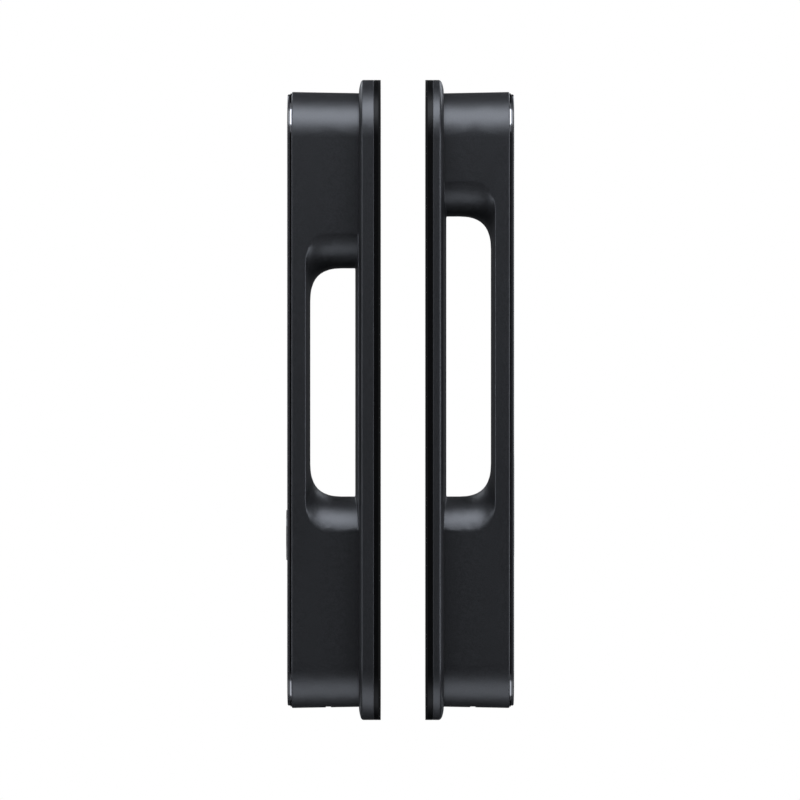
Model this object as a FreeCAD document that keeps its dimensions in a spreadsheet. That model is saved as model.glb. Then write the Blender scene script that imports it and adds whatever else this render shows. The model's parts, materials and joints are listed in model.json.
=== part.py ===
import FreeCAD, Part
import Sketcher
import math
import os

from FreeCAD import Placement, Rotation, Vector

# A push-pull keypad smart lock: an outdoor unit and an indoor unit, back to back on a door.
# Every piece is drawn in its unit's own frame: X runs out of the door from the unit's door face,
# Y is the width and Z is up. unit.place() then turns or shifts it into the shared frame, where
# the outdoor unit faces -X and the indoor unit faces +X.

DOC = FreeCAD.newDocument("keypad_smart_lock")

SIZES = {
    # back plates and surround, shared by both units
    "plate_half_height": 215.0,
    "plate_half_width": 39.5,
    "gasket_depth": 1.5,
    "outer_plate_depth": 2.9,
    "inner_plate_depth": 3.4,
    "base_edge_round": 0.5,
    "body_margin": 8.05,
    "body_draft": 0.9,
    "body_clearance": 0.4,
    "body_edge_round": 0.9,
    "door_gap": 30.0,
    # depths of each unit, out from its door face
    "outer_base_wall": 7.4,
    "inner_base_wall": 4.1,
    "outer_crown_rise": 2.7,
    "inner_crown_rise": 3.3,
    "outer_floor_face": 17.1,
    "inner_floor_face": 14.1,
    "outer_finger_depth": 30.2,
    "inner_finger_depth": 29.9,
    "outer_floor_roll": 2.1,
    "inner_floor_roll": 1.9,
    "outer_bar_depth": 12.4,
    "inner_bar_depth": 12.5,
    # finger opening
    "outer_opening_top": 88.4,
    "inner_opening_top": 123.2,
    "opening_bottom": -64.8,
    "flare_height": 29.3,
    "outer_bar_roll": 2.9,
    "inner_bar_roll": 2.7,
    "corner_depth": 21.0,
    "corner_height": 22.0,
    "corner_growth": 2.7,
    "corner_fullness": 0.69,
    "floor_corner_depth": 0.4,
    "floor_corner_height": 1.5,
    # handle body walls
    "body_wall": 3.6,
    "web_depth": 4.5,
    "floor_wall": 3.0,
    "block_roof": 3.0,
    "harness_hole": 5.0,
    # glass, frame and groove
    "groove_inset": 1.0,
    "groove_depth": 0.9,
    "rim_height": 2.0,
    "rim_width": 2.0,
    "glass_inset": 1.6,
    "glass_depth": 1.9,
    "glass_edge_round": 0.9,
    "trim_gap": 0.1,
    # push and pull travel with its guides
    "travel": 5.0,
    "skirt_engagement": 1.5,
    "skirt_rest_gap": 0.5,
    "guide_height": 178.0,
    "guide_spread": 12.0,
    "pin_radius": 2.5,
    "pin_shoulder": 4.0,
    "pin_head_radius": 5.5,
    "pin_head_depth": 2.0,
    "bush_radius": 4.0,
    "running_gap": 0.05,
    "carrier_back": 16.0,
    "carrier_depth": 5.0,
    "carrier_height": 12.0,
    "carrier_half_width": 25.5,
    "post_gap": 2.05,
    "post_radius": 3.0,
    "spring_length": 16.0,
    "spring_radius": 4.0,
    "spring_wire": 0.9,
    "spring_coils": 5.0,
    # spindle drive
    "spindle_height": -150.0,
    "socket_width": 8.1,
    "socket_length": 14.0,
    "hub_setback": 0.6,
    "journal_radius": 7.0,
    "tip_radius": 5.0,
    "tip_length": 3.0,
    "tooth_module": 1.0,
    "tooth_count": 18.0,
    "pressure_angle": 20.0,
    "root_factor": 1.25,
    "tooth_backlash": 0.12,
    "gear_width": 6.0,
    "gear_back": 9.2,
    "housing_left": 13.5,
    "housing_right": 22.0,
    "housing_half_height": 22.0,
    "gear_room": 0.6,
    "cover_depth": 3.0,
    "rack_web": 5.0,
    "rack_reach": 16.0,
    "arm_top": -106.0,
    "arm_height": 10.0,
    "arm_front": 28.0,
    "cam_pin_radius": 2.5,
    "cam_pin_depth": 24.0,
    "cam_plate": 4.0,
    "cam_plate_side": 4.0,
    "cam_pin_overrun": 0.5,
    "cam_margin": 4.0,
    "cam_low": -121.0,
    "cam_high": -98.0,
    "cam_foot": 14.0,
    "cam_foot_depth": 3.0,
    # fasteners and door fixings
    "screw_radius": 1.5,
    "screw_head_radius": 2.6,
    "screw_head_depth": 1.6,
    "frame_screw_rise": 120.0,
    "screw_edge_gap": 0.4,
    "screw_tip_gap": 0.2,
    "thread_relief": 0.5,
    "fixing_height": 195.0,
    "fixing_radius": 2.5,
    "fixing_clear_radius": 3.3,
    "fixing_boss_radius": 5.0,
    "fixing_boss_depth": 5.0,
    "cable_slot_side": -17.0,
    "cable_slot_width": 10.0,
    "cable_slot_height": 24.0,
    "cable_slot_middle": -110.0,
    "tool_overrun": 1.0,
    # faces and electronics
    "board_depth": 1.6,
    "board_half_width": 21.0,
    "standoff_height": 2.0,
    "standoff_radius": 2.5,
    "standoff_edge_gap": 0.5,
    "sensor_height": 69.9,
    "sensor_radius": 8.0,
    "sensor_flange": 10.0,
    "dish_radius": 17.5,
    "dish_depth": 0.17,
    "keypad_low": 106.0,
    "keypad_side_gap": 2.85,
    "keypad_corner_gap": 1.2,
    "bell_height": -90.7,
    "bell_radius": 16.8,
    "bell_proud": 0.8,
    "button_flange": 1.6,
    "button_flange_depth": 1.4,
    "button_press": 0.6,
    "button_stem": 1.6,
    "switch_width": 6.0,
    "button_spring_radius": 5.5,
    "button_spring_wire": 0.6,
    "button_spring_coils": 3.0,
    "speaker_radius": 9.0,
    "speaker_depth": 4.5,
    "speaker_height": -140.0,
    "port_setback": 24.6,
    "port_width": 9.0,
    "port_depth": 3.2,
    "port_length": 8.0,
    "port_wall": 0.3,
    "port_recess_width": 14.0,
    "port_recess_depth": 3.6,
    "port_recess_sink": 0.7,
    "insert_middle": -71.0,
    "insert_half_height": 35.0,
    "insert_half_width": 17.0,
    "insert_proud": 0.25,
    "key_radius": 9.0,
    "key_spread": 17.0,
    "cover_low": 160.0,
    "cover_proud": 0.05,
    "tray_low": 162.0,
    "tray_high": 193.0,
    "tray_half_width": 19.0,
    "tray_wall": 1.3,
    "pack_gap": 0.2,
    "contact_depth": 1.2,
    "pack_sink": 1.5,
    "magnet_radius": 2.5,
}

SHEET = DOC.addObject("Spreadsheet::Sheet", "sizes")
for row, (alias, number) in enumerate(SIZES.items(), start=1):
    SHEET.set(f"A{row}", alias)
    SHEET.set(f"B{row}", str(number))
    SHEET.setAlias(f"B{row}", alias)
DOC.recompute()


class Size:
    """A length that knows both its value and the sheet expression that gives it."""

    def __init__(self, number, text):
        self.number = float(number)
        self.text = text

    def __float__(self):
        return self.number

    def __add__(self, other):
        other = size(other)
        return Size(self.number + other.number, f"({self.text} + {other.text})")

    def __sub__(self, other):
        other = size(other)
        return Size(self.number - other.number, f"({self.text} - {other.text})")

    def __mul__(self, other):
        other = size(other)
        return Size(self.number * other.number, f"({self.text} * {other.text})")

    def __truediv__(self, other):
        other = size(other)
        return Size(self.number / other.number, f"({self.text} / {other.text})")

    def __neg__(self):
        return Size(-self.number, f"(0 - {self.text})")

    def root(self):
        return Size(math.sqrt(self.number), f"sqrt({self.text})")

    def __radd__(self, other):
        return size(other) + self

    def __rsub__(self, other):
        return size(other) - self

    def __rmul__(self, other):
        return size(other) * self


def size(value):
    """Turn a plain number into a Size; a Size stays as it is."""
    if isinstance(value, Size):
        return value
    return Size(value, f"({float(value)})")


class Sheet:
    """The driving dimensions as attributes, read from the spreadsheet."""

    def __getattr__(self, alias):
        return Size(SHEET.get(alias), f"sizes.{alias}")


D = Sheet()


class Unit:
    """One side of the lock, with the depths that differ between the two sides."""

    def __init__(self, side):
        self.side = side
        self.outdoors = side == "outer"
        self.plate_depth = self.own("plate_depth")
        base_wall = self.own("base_wall")
        crown_rise = self.own("crown_rise")
        floor_face = self.own("floor_face")
        finger_depth = self.own("finger_depth")
        bar_depth = self.own("bar_depth")
        self.plate_front = D.gasket_depth + self.plate_depth
        self.wall_top = self.plate_front + base_wall
        self.crown_top = self.wall_top + crown_rise
        self.floor_face = floor_face
        self.floor_roll = self.own("floor_roll")
        self.bar_roll = self.own("bar_roll")
        self.bar_back = floor_face + finger_depth
        self.web_front = self.bar_back + D.web_depth
        self.body_front = self.bar_back + bar_depth
        self.glass_back = self.body_front + D.groove_depth
        self.glass_front = self.glass_back + D.glass_depth
        self.opening_top = self.own("opening_top")
        if self.outdoors:
            self.skirt_back = self.crown_top - D.travel - D.skirt_engagement
        else:
            self.skirt_back = self.plate_front + D.travel + D.skirt_rest_gap

    def own(self, alias):
        """The size that this side has for itself."""
        return getattr(D, f"{self.side}_{alias}")

    def place(self):
        """Where this unit's frame sits in the shared frame."""
        if self.outdoors:
            return Placement(Vector(0, 0, 0), Rotation(Vector(0, 0, 1), 180))
        return Placement(Vector(float(D.door_gap), 0, 0), Rotation())


OUTER = Unit("outer")
INNER = Unit("inner")

# Outlines of the stadium-shaped pieces: half height and end radius.
PLATE = (D.plate_half_height, D.plate_half_width)


def inset(outline, amount):
    """The same stadium outline, smaller all round."""
    half, radius = outline
    return half - amount, radius - amount


BODY_FRONT = inset(PLATE, D.body_margin)
BODY_BACK = inset(BODY_FRONT, D.body_draft)
CAVITY = inset(BODY_BACK, D.body_wall)
APERTURE = inset(BODY_BACK, -D.body_clearance)
GROOVE = inset(BODY_FRONT, D.groove_inset)
GLASS = inset(BODY_FRONT, D.glass_inset)
RIM = inset(CAVITY, D.trim_gap)
RIM_INSIDE = inset(RIM, D.rim_width)

PIECES = []


def finish_piece(unit, piece, name):
    """Name a finished piece, put it in its unit's place and list it for export."""
    piece.Label = f"{unit.side}_{name}"
    piece.Placement = unit.place()
    PIECES.append(piece)
    return piece


def bind(item, bindings):
    """Bind properties of an object to sheet expressions."""
    for prop, value in bindings.items():
        item.setExpression(prop, size(value).text)


def block(name, low, high):
    """A box between two corners."""
    box = DOC.addObject("Part::Box", name)
    lengths = [size(b) - a for a, b in zip(low, high)]
    bind(box, dict(zip(("Length", "Width", "Height"), lengths)))
    bind(box, dict(zip(("Placement.Base.x", "Placement.Base.y", "Placement.Base.z"), low)))
    return box


AXES = {
    "x": Rotation(Vector(0, 1, 0), 90),
    "y": Rotation(Vector(1, 0, 0), -90),
    "z": Rotation(),
}


def rod(name, start, radius, length, axis="x"):
    """A round bar from a start point along an axis."""
    bar = DOC.addObject("Part::Cylinder", name)
    bar.Placement = Placement(Vector(0, 0, 0), AXES[axis])
    bind(bar, {"Radius": radius, "Height": length})
    bind(bar, dict(zip(("Placement.Base.x", "Placement.Base.y", "Placement.Base.z"), start)))
    return bar


def stadium_prism(name, outline, start, end):
    """A stadium-ended slab between two depths, made of a box and two round ends."""
    half, radius = outline
    middle = half - radius
    length = size(end) - start
    parts = [
        block(f"{name}_middle", (start, -radius, -middle), (end, radius, middle)),
        rod(f"{name}_top", (start, 0, middle), radius, length),
        rod(f"{name}_bottom", (start, 0, -middle), radius, length),
    ]
    return join(name, parts)


def join(name, parts):
    """Fuse parts into one solid without seams."""
    whole = DOC.addObject("Part::MultiFuse", name)
    whole.Shapes = parts
    whole.Refine = True
    return whole


def cut(name, base, tools):
    """Cut one or more tools out of a base."""
    tool = tools[0] if len(tools) == 1 else join(f"{name}_tools", tools)
    whole = DOC.addObject("Part::Cut", name)
    whole.Base = base
    whole.Tool = tool
    whole.Refine = True
    return whole


def common(name, parts):
    """Keep what the parts share."""
    whole = DOC.addObject("Part::MultiCommon", name)
    whole.Shapes = parts
    return whole


def group(name, parts):
    """Separate solids that share one node."""
    whole = DOC.addObject("Part::Compound", name)
    whole.Links = parts
    return whole


def shaped(name, shape):
    """A piece whose curved shape comes straight from Part's own functions."""
    piece = DOC.addObject("Part::Feature", name)
    # a moved shape goes in a compound, because the piece's Placement would replace its own
    piece.Shape = shape if shape.Placement.isIdentity() else Part.makeCompound([shape])
    return piece


def origin_plane(body, role):
    """One of a body's own origin planes."""
    for feature in body.Origin.OriginFeatures:
        if feature.Role == role:
            return feature
    raise RuntimeError(f"{body.Name} has no {role}")


def drawn_body(name):
    """A PartDesign body to be built from sketches on its own YZ plane."""
    return DOC.addObject("PartDesign::Body", name)


def face_sketch(body, name, depth):
    """A sketch parallel to the door at a given depth."""
    sketch = body.newObject("Sketcher::SketchObject", f"{body.Name}_{name}")
    sketch.AttachmentSupport = [(origin_plane(body, "YZ_Plane"), "")]
    sketch.MapMode = "FlatFace"
    sketch.setExpression("AttachmentOffset.Base.z", size(depth).text)
    return sketch


def constrain(sketch, kind, value, *where):
    """Add one driving constraint bound to the sheet."""
    index = sketch.addConstraint(Sketcher.Constraint(kind, *where, abs(float(value))))
    label = f"size{index}"
    sketch.renameConstraint(index, label)
    positive = size(value) if float(value) >= 0 else -size(value)
    sketch.setExpression(f"Constraints.{label}", positive.text)


def draw_stadium(sketch, outline):
    """A stadium outline centred on the sketch's origin."""
    half, radius = (float(part) for part in outline)
    middle = half - radius
    right = sketch.addGeometry(Part.LineSegment(Vector(radius, -middle, 0), Vector(radius, middle, 0)))
    left = sketch.addGeometry(Part.LineSegment(Vector(-radius, middle, 0), Vector(-radius, -middle, 0)))
    up = Part.Circle(Vector(0, middle, 0), Vector(0, 0, 1), radius)
    down = Part.Circle(Vector(0, -middle, 0), Vector(0, 0, 1), radius)
    top = sketch.addGeometry(Part.ArcOfCircle(up, 0, math.pi))
    bottom = sketch.addGeometry(Part.ArcOfCircle(down, math.pi, 2 * math.pi))
    ends = ((right, 2, top, 1), (top, 2, left, 1), (left, 2, bottom, 1), (bottom, 2, right, 1))
    for first, first_end, second, second_end in ends:
        sketch.addConstraint(Sketcher.Constraint("Tangent", first, first_end, second, second_end))
    sketch.addConstraint(Sketcher.Constraint("PointOnObject", top, 3, -2))
    sketch.addConstraint(Sketcher.Constraint("Symmetric", top, 3, bottom, 3, -1, 1))
    sketch.addConstraint(Sketcher.Constraint("Vertical", right))
    constrain(sketch, "Radius", outline[1], top)
    constrain(sketch, "DistanceY", outline[0] - outline[1], -1, 1, top, 3)


def draw_circle(sketch, across, up, radius):
    """A circle at a place given from the sketch's origin."""
    centre = Vector(float(across), float(up), 0)
    circle = sketch.addGeometry(Part.Circle(centre, Vector(0, 0, 1), float(radius)))
    constrain(sketch, "Radius", radius, circle)
    if float(across) == 0:
        sketch.addConstraint(Sketcher.Constraint("PointOnObject", circle, 3, -2))
    else:
        pair = (-1, 1, circle, 3) if float(across) > 0 else (circle, 3, -1, 1)
        constrain(sketch, "DistanceX", across, *pair)
    if float(up) == 0:
        sketch.addConstraint(Sketcher.Constraint("PointOnObject", circle, 3, -1))
    else:
        pair = (-1, 1, circle, 3) if float(up) > 0 else (circle, 3, -1, 1)
        constrain(sketch, "DistanceY", up, *pair)


def draw_rectangle(sketch, low, high):
    """A rectangle between two corners, each side tied to the sheet."""
    corners = (
        Vector(float(low[0]), float(low[1]), 0),
        Vector(float(high[0]), float(low[1]), 0),
        Vector(float(high[0]), float(high[1]), 0),
        Vector(float(low[0]), float(high[1]), 0),
    )
    sides = []
    for number, corner in enumerate(corners):
        sides.append(sketch.addGeometry(Part.LineSegment(corner, corners[(number + 1) % 4])))
    for number, side in enumerate(sides):
        sketch.addConstraint(Sketcher.Constraint("Coincident", side, 2, sides[(number + 1) % 4], 1))
        sketch.addConstraint(Sketcher.Constraint("Horizontal" if number % 2 == 0 else "Vertical", side))
    for kind, values, ends in (("DistanceX", (low[0], high[0]), (0, 2)), ("DistanceY", (low[1], high[1]), (0, 2))):
        for value, end in zip(values, ends):
            pair = (-1, 1, sides[end], 1) if float(value) > 0 else (sides[end], 1, -1, 1)
            constrain(sketch, kind, value, *pair)


def pad(body, sketch, length):
    """Grow a sketch outwards, away from the door."""
    feature = body.newObject("PartDesign::Pad", f"{sketch.Name}_pad")
    feature.Profile = sketch
    feature.setExpression("Length", size(length).text)
    DOC.recompute()
    return feature


def pocket(body, sketch, length):
    """Cut a sketch outwards, away from the door, and make sure that it removed material."""
    before = body.Shape.Volume
    feature = body.newObject("PartDesign::Pocket", f"{sketch.Name}_pocket")
    feature.Profile = sketch
    feature.Reversed = True
    feature.setExpression("Length", size(length).text)
    DOC.recompute()
    if body.Shape.Volume > before - 1e-6:
        raise RuntimeError(f"{sketch.Name} cut nothing")
    return feature


def round_edges(body, depth, radius):
    """Round every edge of a body that lies flat at one depth."""
    base = body.Tip
    chosen = []
    for number, edge in enumerate(base.Shape.Edges, start=1):
        box = edge.BoundBox
        if abs(box.XMin - float(depth)) < 1e-4 and abs(box.XMax - float(depth)) < 1e-4:
            chosen.append(f"Edge{number}")
    feature = body.newObject("PartDesign::Fillet", f"{body.Name}_round")
    feature.Base = (base, chosen)
    feature.setExpression("Radius", size(radius).text)
    DOC.recompute()
    return feature


# ---- fixed pieces of each unit -------------------------------------------------------------

FIXINGS = (D.fixing_height, -D.fixing_height)
FRAME_SCREWS = [(side, up) for side in (-1, 1) for up in (-D.frame_screw_rise, size(0), D.frame_screw_rise)]
FRAME_SCREW_SIDE = (D.plate_half_width + APERTURE[1]) / 2
GUIDES = [(side, up) for side in (-1, 1) for up in (-1, 1)]
GEAR_BACK = D.gear_back
GEAR_FRONT = GEAR_BACK + D.gear_width
PITCH_RADIUS = D.tooth_module * D.tooth_count / 2
TIP_RADIUS = PITCH_RADIUS + D.tooth_module
RACK_TIP = PITCH_RADIUS - D.tooth_module
RACK_ROOT = PITCH_RADIUS + D.tooth_module * D.root_factor
RACK_BACK = RACK_ROOT + D.rack_web
COVER_BACK = GEAR_FRONT + D.running_gap * 2
COVER_FRONT = COVER_BACK + D.cover_depth
HOUSING_LOW = D.spindle_height - D.housing_half_height
HOUSING_HIGH = D.spindle_height + D.housing_half_height
MAGNET_SIDE = D.tray_half_width + D.magnet_radius * 2
POST_SPREAD = CAVITY[1] - D.screw_head_radius - D.post_gap
KEYPAD_HALF_WIDTH = RIM_INSIDE[1] - D.keypad_side_gap
# the keypad board's top corners stay inside the round end of the frame's rim
KEYPAD_REACH = RIM_INSIDE[1] - D.keypad_corner_gap
KEYPAD_HIGH = (
    RIM_INSIDE[0]
    - RIM_INSIDE[1]
    + (KEYPAD_REACH * KEYPAD_REACH - KEYPAD_HALF_WIDTH * KEYPAD_HALF_WIDTH).root()
)
OVERRUN = D.tool_overrun


def cable_slot_corners():
    """The cable slot's low and high corners in width and height."""
    half_width = D.cable_slot_width / 2
    half_height = D.cable_slot_height / 2
    low = (D.cable_slot_side - half_width, D.cable_slot_middle - half_height)
    high = (D.cable_slot_side + half_width, D.cable_slot_middle + half_height)
    return low, high


def make_gasket(unit):
    """Rubber sheet between the unit and the door."""
    body = drawn_body(f"{unit.side}_gasket_body")
    outline = face_sketch(body, "outline", 0)
    draw_stadium(outline, PLATE)
    draw_circle(outline, 0, D.spindle_height, D.journal_radius + D.pin_radius)
    for up in FIXINGS:
        draw_circle(outline, 0, up, D.fixing_clear_radius)
    pad(body, outline, D.gasket_depth)
    slot = face_sketch(body, "cable_slot", 0)
    draw_rectangle(slot, *cable_slot_corners())
    pocket(body, slot, D.gasket_depth)
    return finish_piece(unit, body, "gasket")


def make_mounting_plate(unit):
    """Black steel plate that carries the base frame, the guide pins and the spindle drive."""
    body = drawn_body(f"{unit.side}_plate_body")
    outline = face_sketch(body, "outline", D.gasket_depth)
    draw_stadium(outline, PLATE)
    draw_circle(outline, 0, D.spindle_height, D.journal_radius + D.running_gap)
    for side, up in GUIDES:
        draw_circle(outline, D.guide_spread * side, D.guide_height * up, D.pin_radius)
    for side, up in FRAME_SCREWS:
        draw_circle(outline, FRAME_SCREW_SIDE * side, up, D.screw_radius)
    for across, up in gear_screw_places():
        draw_circle(outline, across, up, D.screw_radius)
    hole = D.fixing_radius if unit.outdoors else D.fixing_clear_radius
    for up in FIXINGS:
        draw_circle(outline, 0, up, hole)
    pad(body, outline, unit.plate_depth)
    slot = face_sketch(body, "cable_slot", D.gasket_depth)
    draw_rectangle(slot, *cable_slot_corners())
    pocket(body, slot, unit.plate_depth)
    heads = face_sketch(body, "screw_heads", D.gasket_depth)
    for side, up in FRAME_SCREWS:
        draw_circle(heads, FRAME_SCREW_SIDE * side, up, D.screw_head_radius)
    pocket(body, heads, D.screw_head_depth)
    if unit.outdoors:
        bosses = face_sketch(body, "threaded_bosses", unit.plate_front)
        for up in FIXINGS:
            draw_circle(bosses, 0, up, D.fixing_boss_radius)
            draw_circle(bosses, 0, up, D.fixing_radius)
        pad(body, bosses, D.fixing_boss_depth)
    return finish_piece(unit, body, "mounting_plate")


def make_base_frame(unit):
    """Painted surround: an upright edge, then a crown that rises to the handle body."""
    body = drawn_body(f"{unit.side}_frame_body")
    outline = face_sketch(body, "outline", unit.plate_front)
    draw_stadium(outline, PLATE)
    pad(body, outline, unit.wall_top - unit.plate_front)
    slope = unit.crown_top - unit.wall_top
    run = PLATE[1] - APERTURE[1]
    steps = 4
    last = face_sketch(body, "crown_0", unit.wall_top)
    draw_stadium(last, PLATE)
    sections = [last]
    for number in range(1, steps + 1):
        turn = math.pi / 2 * number / steps
        rise = slope * math.sin(turn)
        narrowing = run * (1 - math.cos(turn))
        section = face_sketch(body, f"crown_{number}", unit.wall_top + rise)
        draw_stadium(section, inset(PLATE, narrowing))
        sections.append(section)
    DOC.recompute()
    crown = body.newObject("PartDesign::AdditiveLoft", f"{body.Name}_crown")
    crown.Profile = sections[0]
    crown.Sections = sections[1:]
    crown.Ruled = False
    DOC.recompute()
    round_edges(body, unit.plate_front, D.base_edge_round)
    hole = face_sketch(body, "aperture", unit.plate_front)
    draw_stadium(hole, APERTURE)
    pocket(body, hole, unit.crown_top - unit.plate_front)
    screws = face_sketch(body, "screw_holes", unit.plate_front)
    for side, up in FRAME_SCREWS:
        draw_circle(screws, FRAME_SCREW_SIDE * side, up, D.screw_radius)
    pocket(body, screws, unit.wall_top - unit.plate_front - D.base_edge_round)
    return finish_piece(unit, body, "base_frame")


def make_frame_screws(unit):
    """Countersunk screws from the plate's back into the base frame."""
    screws = []
    depth = unit.wall_top - unit.plate_front - D.base_edge_round - D.base_edge_round
    for number, (side, up) in enumerate(FRAME_SCREWS):
        name = f"{unit.side}_frame_screw_{number}"
        across = FRAME_SCREW_SIDE * side
        head = rod(f"{name}_head", (D.gasket_depth, across, up), D.screw_head_radius, D.screw_head_depth)
        shank = rod(f"{name}_shank", (D.gasket_depth, across, up), D.screw_radius, unit.plate_depth + depth)
        screws.append(join(name, [head, shank]))
    return finish_piece(unit, group(f"{unit.side}_frame_screws_all", screws), "frame_screws")


def make_guide_pins(unit):
    """Headed pins pressed into the plate; the handle body's carriers slide along them."""
    pins = []
    carrier_front = D.carrier_back + D.carrier_depth
    if unit.outdoors:
        head_back = carrier_front + D.spring_length
    else:
        head_back = carrier_front + D.running_gap * 2
    for number, (side, up) in enumerate(GUIDES):
        name = f"{unit.side}_guide_pin_{number}"
        across = D.guide_spread * side
        height = D.guide_height * up
        shank = rod(f"{name}_shank", (D.gasket_depth, across, height), D.pin_radius, head_back - D.gasket_depth)
        head = rod(f"{name}_head", (head_back, across, height), D.pin_head_radius, D.pin_head_depth)
        solids = [shank, head]
        if unit.outdoors:
            length = D.carrier_back - D.running_gap - unit.plate_front
            start = (unit.plate_front, across, height)
            solids.append(rod(f"{name}_shoulder", start, D.pin_shoulder, length))
        pins.append(join(name, solids))
    return finish_piece(unit, group(f"{unit.side}_guide_pins_all", pins), "guide_pins")


def gear_screw_places():
    """Corners of the gear housing where its screws go, in width and height."""
    edge = D.screw_head_radius + D.screw_edge_gap
    left = edge - D.housing_left
    right = D.housing_right - edge
    low = HOUSING_LOW + edge
    high = HOUSING_HIGH - edge
    return [(left, low), (right, low), (left, high), (right, high)]


def make_gear_housing(unit):
    """Open box on the plate that holds the pinion and guides the rack."""
    name = f"{unit.side}_gear_housing"
    box = block(
        f"{name}_box",
        (unit.plate_front, -D.housing_left, HOUSING_LOW),
        (COVER_BACK, D.housing_right, HOUSING_HIGH),
    )
    floor = GEAR_BACK - D.running_gap * 2
    gear_room = TIP_RADIUS + D.gear_room
    bore = D.journal_radius + D.running_gap
    above = COVER_BACK + OVERRUN
    tools = [
        rod(f"{name}_gear_room", (floor, 0, D.spindle_height), gear_room, above - floor),
        rod(f"{name}_bore", (0, 0, D.spindle_height), bore, above),
        block(
            f"{name}_rack_room",
            (floor, RACK_TIP - D.running_gap * 2, HOUSING_LOW + D.screw_head_radius),
            (above, RACK_BACK + D.running_gap, HOUSING_HIGH + OVERRUN),
        ),
    ]
    for number, (across, up) in enumerate(gear_screw_places()):
        tools.append(rod(f"{name}_screw_hole_{number}", (0, across, up), D.screw_radius, above))
    return finish_piece(unit, cut(name, box, tools), "gear_housing")


def make_gear_cover(unit):
    """Plate that closes the gear housing and carries the hub's tip."""
    name = f"{unit.side}_gear_cover"
    plate = block(
        f"{name}_plate",
        (COVER_BACK, -D.housing_left, HOUSING_LOW),
        (COVER_FRONT, D.housing_right, HOUSING_HIGH),
    )
    tools = [rod(f"{name}_bore", (0, 0, D.spindle_height), D.tip_radius + D.running_gap, COVER_FRONT + OVERRUN)]
    for number, (across, up) in enumerate(gear_screw_places()):
        tools.append(rod(f"{name}_screw_hole_{number}", (0, across, up), D.screw_radius, COVER_FRONT + OVERRUN))
    return finish_piece(unit, cut(name, plate, tools), "gear_cover")


def make_gear_screws(unit):
    """Screws through the cover and housing into the plate."""
    screws = []
    for number, (across, up) in enumerate(gear_screw_places()):
        name = f"{unit.side}_gear_screw_{number}"
        head = rod(f"{name}_head", (COVER_FRONT, across, up), D.screw_head_radius, D.screw_head_depth)
        shank = rod(f"{name}_shank", (D.gasket_depth, across, up), D.screw_radius, COVER_FRONT - D.gasket_depth)
        screws.append(join(name, [head, shank]))
    return finish_piece(unit, group(f"{unit.side}_gear_screws_all", screws), "gear_screws")


# ---- spindle drive ---------------------------------------------------------------------------


def involute_gear(start, width):
    """A spur gear about X whose first tooth points along +Y."""
    module = float(D.tooth_module)
    teeth = float(D.tooth_count)
    backlash = float(D.tooth_backlash)
    lean = math.radians(float(D.pressure_angle))
    pitch = module * teeth / 2
    root = pitch - float(D.root_factor) * module
    tip = pitch + module
    base = pitch * math.cos(lean)
    pressure = math.tan(lean) - lean
    half_tooth = math.pi / (2 * teeth) - backlash / 2 / pitch + pressure
    steps = 6
    flank = []
    for step in range(steps + 1):
        radius = base + (tip - base) * step / steps
        roll = math.sqrt((radius / base) ** 2 - 1)
        flank.append((radius, half_tooth - (roll - math.atan(roll))))
    outline = []
    for tooth in range(int(teeth)):
        middle = 2 * math.pi * tooth / teeth
        rising = [(root, -half_tooth)] + [(radius, -angle) for radius, angle in flank]
        falling = [(radius, angle) for radius, angle in reversed(flank)] + [(root, half_tooth)]
        for radius, angle in rising + falling:
            turn = middle + angle
            outline.append(Vector(start, radius * math.cos(turn), radius * math.sin(turn)))
    outline.append(outline[0])
    return Part.Face(Part.makePolygon(outline)).extrude(Vector(width, 0, 0))


def make_spindle_hub(unit):
    """Pinion with a journal, a tip and the square socket that turns the lock case's spindle."""
    gear = involute_gear(float(GEAR_BACK), float(D.gear_width))
    out = Vector(1, 0, 0)
    back = float(D.hub_setback)
    journal = Part.makeCylinder(float(D.journal_radius), float(GEAR_BACK) - back, Vector(back, 0, 0), out)
    tip_start = Vector(float(GEAR_FRONT), 0, 0)
    tip = Part.makeCylinder(float(D.tip_radius), float(D.tip_length), tip_start, out)
    half = float(D.socket_width) / 2
    socket = Part.makeBox(float(D.socket_length), 2 * half, 2 * half, Vector(back, -half, -half))
    hub = gear.fuse([journal, tip]).cut(socket).removeSplitter()
    hub.translate(Vector(0, 0, float(D.spindle_height)))
    return finish_piece(unit, shaped(f"{unit.side}_hub_shape", hub), "spindle_hub")


def rack_teeth(low, count):
    """Outline of a run of rack teeth that point towards -Y, from a low end upwards."""
    module = float(D.tooth_module)
    pitch_line = float(PITCH_RADIUS)
    slope = math.tan(math.radians(float(D.pressure_angle)))
    half = math.pi * module / 4 - float(D.tooth_backlash) / 2
    tip = float(RACK_TIP)
    root = float(RACK_ROOT)
    points = []
    for number in range(count):
        middle = low + math.pi * module * number
        at_tip = half - (pitch_line - tip) * slope
        at_root = half + (root - pitch_line) * slope
        points.append((root, middle - at_root))
        points.append((tip, middle - at_tip))
        points.append((tip, middle + at_tip))
        points.append((root, middle + at_root))
    return points


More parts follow.
